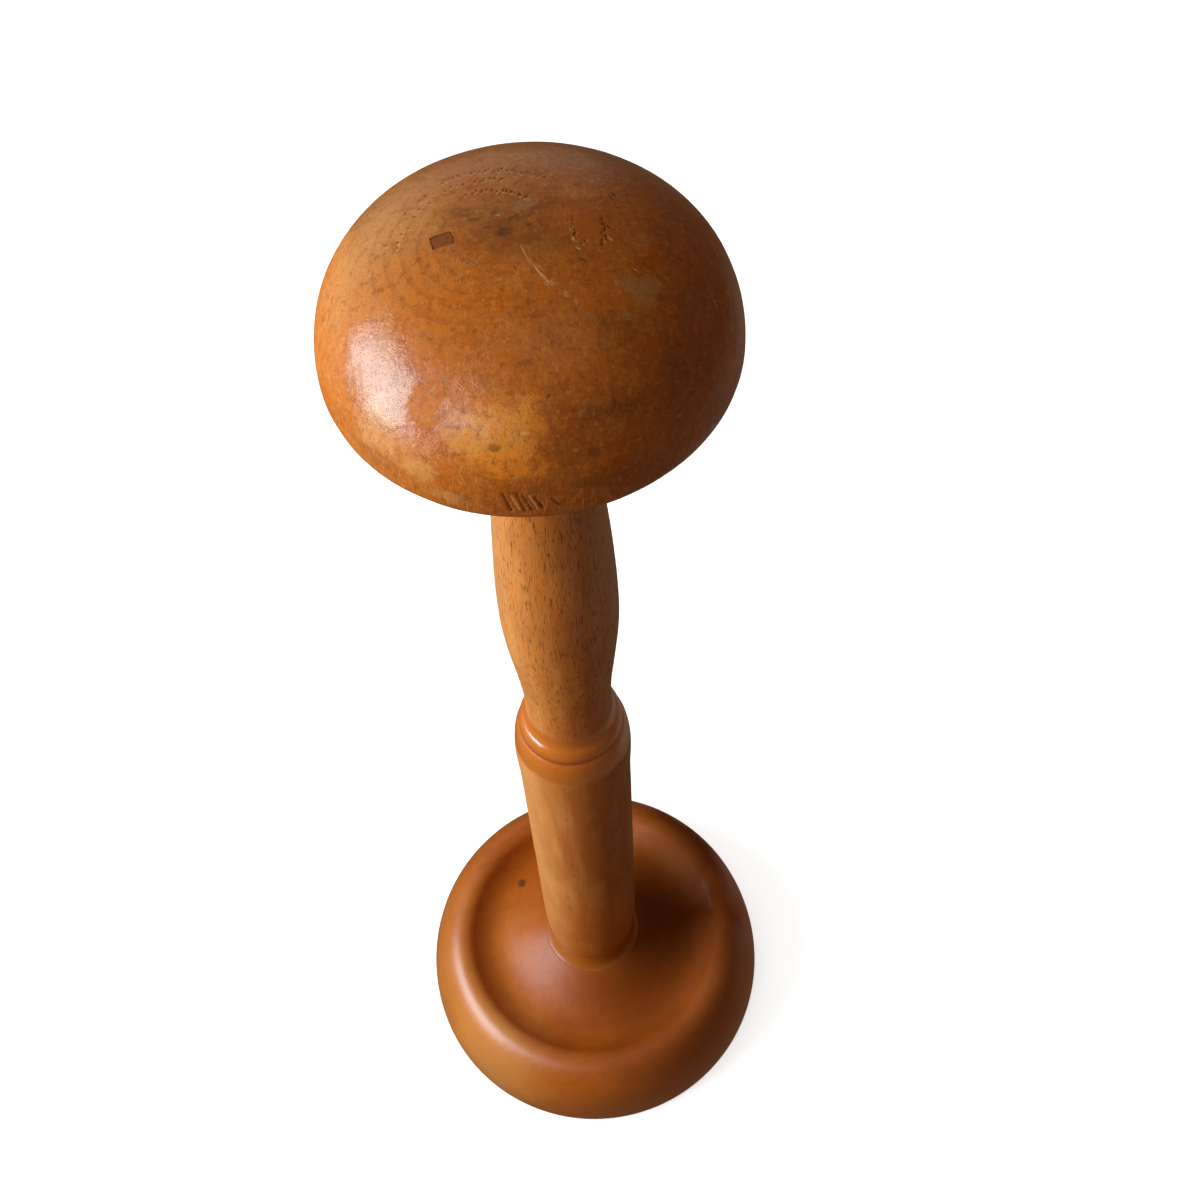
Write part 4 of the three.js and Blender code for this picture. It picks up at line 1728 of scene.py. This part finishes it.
    def dents(self) -> list[Dent]:
        """Lists the dents: scuff, nicks in the rim, torn pores, dashes round the right peg and small knocks.

        Returns:
            The dents.
        """
        chance = random.Random(4)
        return [
            self.dent(self.SCUFF[:4], 0.22, 0.05, Tone.CLEAN),
            self.dent(self.SCUFF[3:], 0.4, 0.07, Tone.CLEAN),
            self.dent(self.FLAT_KNOCK, 2.0, 0.3, Tone.CLEAN),
            *self.rim_nicks(),
            *self.torn_pores(chance),
            *self.peg_dashes(chance),
            *self.small_knocks(chance),
        ]

    def rim_nicks(self) -> list[Dent]:
        """Lists the slanting nicks in the rim's front.

        Returns:
            The nicks.
        """
        return [
            Dent((self.on_rim(azimuth, high), self.on_rim(azimuth + self.nick_lean, low)), width,
                 self.nick_depth, tone)
            for azimuth, high, low, width, tone in self.RIM_NICKS
        ]

    def torn_pores(self, chance: random.Random) -> list[Dent]:
        """Lists the torn pores in the crown's rings, most of them with a pale crumb before them.

        Args:
            chance: Gives the random draws.

        Returns:
            The dents.
        """
        dents = []
        for radius, first, last, sparse in self.TORN_RINGS:
            angle = first
            while angle > last:
                turn = math.radians(angle)
                x = self.pith[0] + (radius + chance.uniform(-0.5, 0.5)) * math.cos(turn)
                y = self.pith[1] + (radius + chance.uniform(-0.5, 0.5)) * math.sin(turn)
                length = chance.uniform(0.1, 0.5)
                end = (x + length * math.cos(turn), y + length * math.sin(turn))
                dents.append(self.dent(((x, y), end), 0.32, 0.2))
                if chance.random() < 0.7:
                    crumb = ((x + 0.1, y - 0.62), (x - 0.3, y - 0.7))
                    dents.append(self.dent(crumb, 0.26, 0.03, Tone.BARE))
                angle -= sparse * chance.uniform(1.1, 3.6)
        return dents

    def peg_dashes(self, chance: random.Random) -> list[Dent]:
        """Lists the short dashes round the right peg.

        Args:
            chance: Gives the random draws.

        Returns:
            The dents.
        """
        dents = []
        for x, y in self.PEG_DASHES:
            end = (x + chance.uniform(-0.5, 0.5), y - chance.uniform(0.2, 0.7))
            tones = (Tone.DIRTY, Tone.DIRTY, Tone.BARE) if x > self.PEG_MIDDLE else (Tone.BARE, Tone.CLEAN)
            dents.append(self.dent(((x, y), end), 0.4, 0.2, chance.choice(tones)))
        return dents

    def small_knocks(self, chance: random.Random) -> list[Dent]:
        """Lists small knocks all over the dome.

        Args:
            chance: Gives the random draws.

        Returns:
            The dents.
        """
        dents = []
        for _ in range(self.knocks):
            azimuth = chance.uniform(0, math.tau)
            x, y = around(self.radius * math.sqrt(chance.uniform(0.02, 0.9)), azimuth)
            end = (x + chance.uniform(-1.2, 1.2), y + chance.uniform(-1.2, 1.2))
            half_width = chance.uniform(0.18, 0.32)
            tone = chance.choice((Tone.DIRTY, Tone.CLEAN, Tone.CLEAN, Tone.BARE))
            dents.append(self.dent(((x, y), end), half_width, 0.05, tone))
        return dents

    def gap(self, radius: float, height: float) -> float:
        """Spaces the rings closely on the rim and the crown, and widely in the hidden socket.

        Args:
            radius: Radius of a ring, in millimetres.
            height: Its height.

        Returns:
            The distance to the next ring.
        """
        widest = self.underside + self.widest_height
        in_socket = radius <= self.socket_radius + 0.1 and height < self.top - 5
        if height < self.underside + 1 or in_socket:
            return self.hidden_gap
        if height < widest:
            return self.under_gap
        if height < widest + self.rim_rise:
            return self.rim_gap
        return self.crown_gap if radius < self.crown_reach else self.dome_gap

    def build(self, turning: TurningTree) -> list[Thing]:
        """Turns the head, lets the pegs in and dresses them.

        Args:
            turning: The turning tree.

        Returns:
            The fitted head and pegs.
        """
        rings = self.outline().rows(self.gap)
        inputs = {
            "Segments": self.segments,
            "Crowding": 0.4,
            "Wander": 0.35 * MM,
            "Wander Size": 16 * MM,
            "Seed": 1.0,
            "Dents": edge_mesh("head_dents", self.dents()),
            "Cutters": joined("pockets", [peg.pocket(self.top) for peg in self.pegs]),
            "Wood": HeadFinish().build(),
        }
        head = fit(turning.turn("head_turned", rings, inputs), "head", "head_wood")
        return [head, *(peg.build(turning, rings, inputs, self.top) for peg in self.pegs)]


@dataclass(frozen=True)
class Lamp:
    """A soft square lamp that faces a point of the stand."""

    name: str
    place: Point
    size: Pair
    radiance: float
    color: tuple[float, float, float]
    target: Point = (0.0, 0.0, 0.36)

    def build(self) -> None:
        """Makes the lamp, in metres."""
        light = bpy.data.lights.new(self.name, "AREA")
        light.shape = "RECTANGLE"
        light.size, light.size_y = self.size
        light.energy = self.radiance * math.pi * self.size[0] * self.size[1]
        light.color = self.color
        lamp = bpy.data.objects.new(self.name, light)
        lamp.location = self.place
        lamp.rotation_euler = (Vector(self.target) - Vector(self.place)).to_track_quat("-Z", "Y").to_euler()
        lamp.visible_camera = False
        bpy.context.scene.collection.objects.link(lamp)


@dataclass
class Studio:
    """A pale floor that sweeps up into a wall all round, a window's soft light and a dim room."""

    floor_radius: float = 1.6
    wall_radius: float = 2.4
    wall_height: float = 3.0
    flat_rings: tuple[float, ...] = (0.02, 0.08, 0.2, 0.5, 1.0)
    segments: int = 96
    steps: int = 12
    lamps: tuple[Lamp, ...] = (
        Lamp("window", (-0.982, -0.113, 0.722), (0.9, 0.81), 10.8, (0.78, 0.90, 1.0), (0.0, 0.0, 0.42)),
        Lamp("small_window", (-0.66, -0.76, 1.07), (0.36, 0.34), 3.0, (0.92, 0.96, 1.0), (0.0, 0.0, 0.42)),
        Lamp("floor_glow", (0.42, 0.20, 0.01), (0.5, 0.5), 0.09, (1.0, 0.93, 0.86), (0.0, 0.0, 0.3)),
        Lamp("far_wall", (-0.5, 1.7, 0.75), (2.2, 0.9), 0.4, (1.0, 0.88, 0.75)),
    )

    def build(self) -> None:
        """Makes the floor, the lamps and the dim room, and shows colours as they are."""
        floor = self.floor()
        self.overhead(floor)
        for lamp in self.lamps:
            lamp.build()
        self.room()
        bpy.context.scene.view_settings.view_transform = "Standard"

    def room(self) -> None:
        """Makes the dim warm room that the wood mirrors."""
        world = bpy.data.worlds.new("dim_room")
        world.use_nodes = True
        world.node_tree.nodes.clear()
        add = partial(add_node, world.node_tree)
        glow = add("ShaderNodeBackground", {"Color": (1.0, 0.62, 0.30, 1.0), "Strength": 0.16})
        add("ShaderNodeOutputWorld", {"Surface": glow})
        bpy.context.scene.world = world

    def sweep(self) -> bpy.types.Mesh:
        """Makes the floor and its wall in one smooth sheet.

        Returns:
            The mesh.
        """
        bend = self.wall_radius - self.floor_radius
        quarter = [math.pi / 2 * k / self.steps for k in range(self.steps + 1)]
        turns = [math.tau * k / self.segments for k in range(self.segments)]
        outline = [(radius, 0.0) for radius in self.flat_rings]
        outline += [(self.floor_radius + bend * math.sin(t), bend * (1 - math.cos(t))) for t in quarter]
        outline.append((self.wall_radius, self.wall_height))
        points = [Vector((0.0, 0.0, 0.0))]
        points += [Vector((*around(radius, turn), height)) for radius, height in outline for turn in turns]
        sides = [(k, (k + 1) % self.segments) for k in range(self.segments)]
        faces: list[tuple[int, ...]] = [(0, 1 + k, 1 + after) for k, after in sides]
        for ring in range(len(outline) - 1):
            low = 1 + ring * self.segments
            high = low + self.segments
            faces += [(low + k, high + k, high + after, low + after) for k, after in sides]
        mesh = bpy.data.meshes.new("floor")
        mesh.from_pydata(points, [], faces)
        mesh.shade_smooth()
        return mesh

    def floor(self) -> Thing:
        """Lays pale paper over the floor's sheet, and keeps it out of the stand's own light.

        Returns:
            The floor.
        """
        paper = bpy.data.materials.new("pale_paper")
        paper.use_nodes = True
        paper.node_tree.nodes.clear()
        add = partial(add_node, paper.node_tree)
        surface = add(
            "ShaderNodeBsdfPrincipled",
            {"Base Color": (0.4, 0.4, 0.4, 1.0), "Roughness": 1.0, "Specular IOR Level": 0.0,
             "Emission Color": (1.0, 1.0, 1.0, 1.0), "Emission Strength": 0.55},
        )
        add("ShaderNodeOutputMaterial", {"Surface": surface})
        floor = bpy.data.objects.new("floor", self.sweep())
        floor.data.materials.append(paper)
        floor.visible_diffuse = False
        floor.visible_glossy = False
        bpy.context.scene.collection.objects.link(floor)
        return floor

    def overhead(self, floor: Thing) -> None:
        """Lights the floor alone from above, so that the stand's shadow on it stays soft.

        Args:
            floor: The floor.
        """
        sky = bpy.data.lights.new("overhead", "SUN")
        sky.energy = 3.0
        sky.angle = math.radians(70)
        overhead = bpy.data.objects.new("overhead", sky)
        bpy.context.scene.collection.objects.link(overhead)
        only_floor = bpy.data.collections.new("floor_only")
        only_floor.objects.link(floor)
        overhead.light_linking.receiver_collection = only_floor


@dataclass
class PhotoCamera:
    """The camera, held above the stand and a little to its front, as in the photograph."""

    place: Point = (0.0, -0.2108, 0.6475)
    yaw: float = 0.0534
    pitch: float = 1.0216
    roll: float = -0.059
    lens: float = 44.7
    sensor: float = 36.0

    def build(self) -> None:
        """Makes the camera and looks through it."""
        ahead = Vector((
            math.sin(self.yaw) * math.cos(self.pitch),
            math.cos(self.yaw) * math.cos(self.pitch),
            -math.sin(self.pitch),
        ))
        level = Vector((math.cos(self.yaw), -math.sin(self.yaw), 0.0))
        up = level.cross(ahead)
        right = level * math.cos(self.roll) + up * math.sin(self.roll)
        upright = up * math.cos(self.roll) - level * math.sin(self.roll)
        data = bpy.data.cameras.new("photo_camera")
        data.lens, data.sensor_width = self.lens, self.sensor
        data.clip_start, data.clip_end = 0.01, 50.0
        camera = bpy.data.objects.new("photo_camera", data)
        axes = Matrix((right, upright, -ahead)).transposed().to_4x4()
        camera.matrix_world = Matrix.Translation(self.place) @ axes
        bpy.context.scene.collection.objects.link(camera)
        bpy.context.scene.camera = camera


def main() -> None:
    """Builds the stand from its foot up, then the studio round it, and reports each piece."""
    logging.basicConfig(level=logging.INFO, format="%(name)s: %(message)s")
    PhotoCamera().build()
    turning = TurningTree()
    base_high, head_box = corners("base")[1], corners("head")
    base = Base(radius=base_high.x, seat_height=base_high.z)
    pieces = [base.build(turning)]
    pieces.append(Spindle(foot=base.seat_height + GLUE_GAP).build(turning, corners("column")[1].z))
    pieces += dress_wedges()
    pieces += Head(underside=head_box[0].z, radius=head_box[1].x, top=head_box[1].z).build(turning)
    for piece in pieces:
        LOG.info("%s: %d faces", piece.name, len(piece.data.polygons))
    Studio().build()


if __name__ == "__main__":
    main()
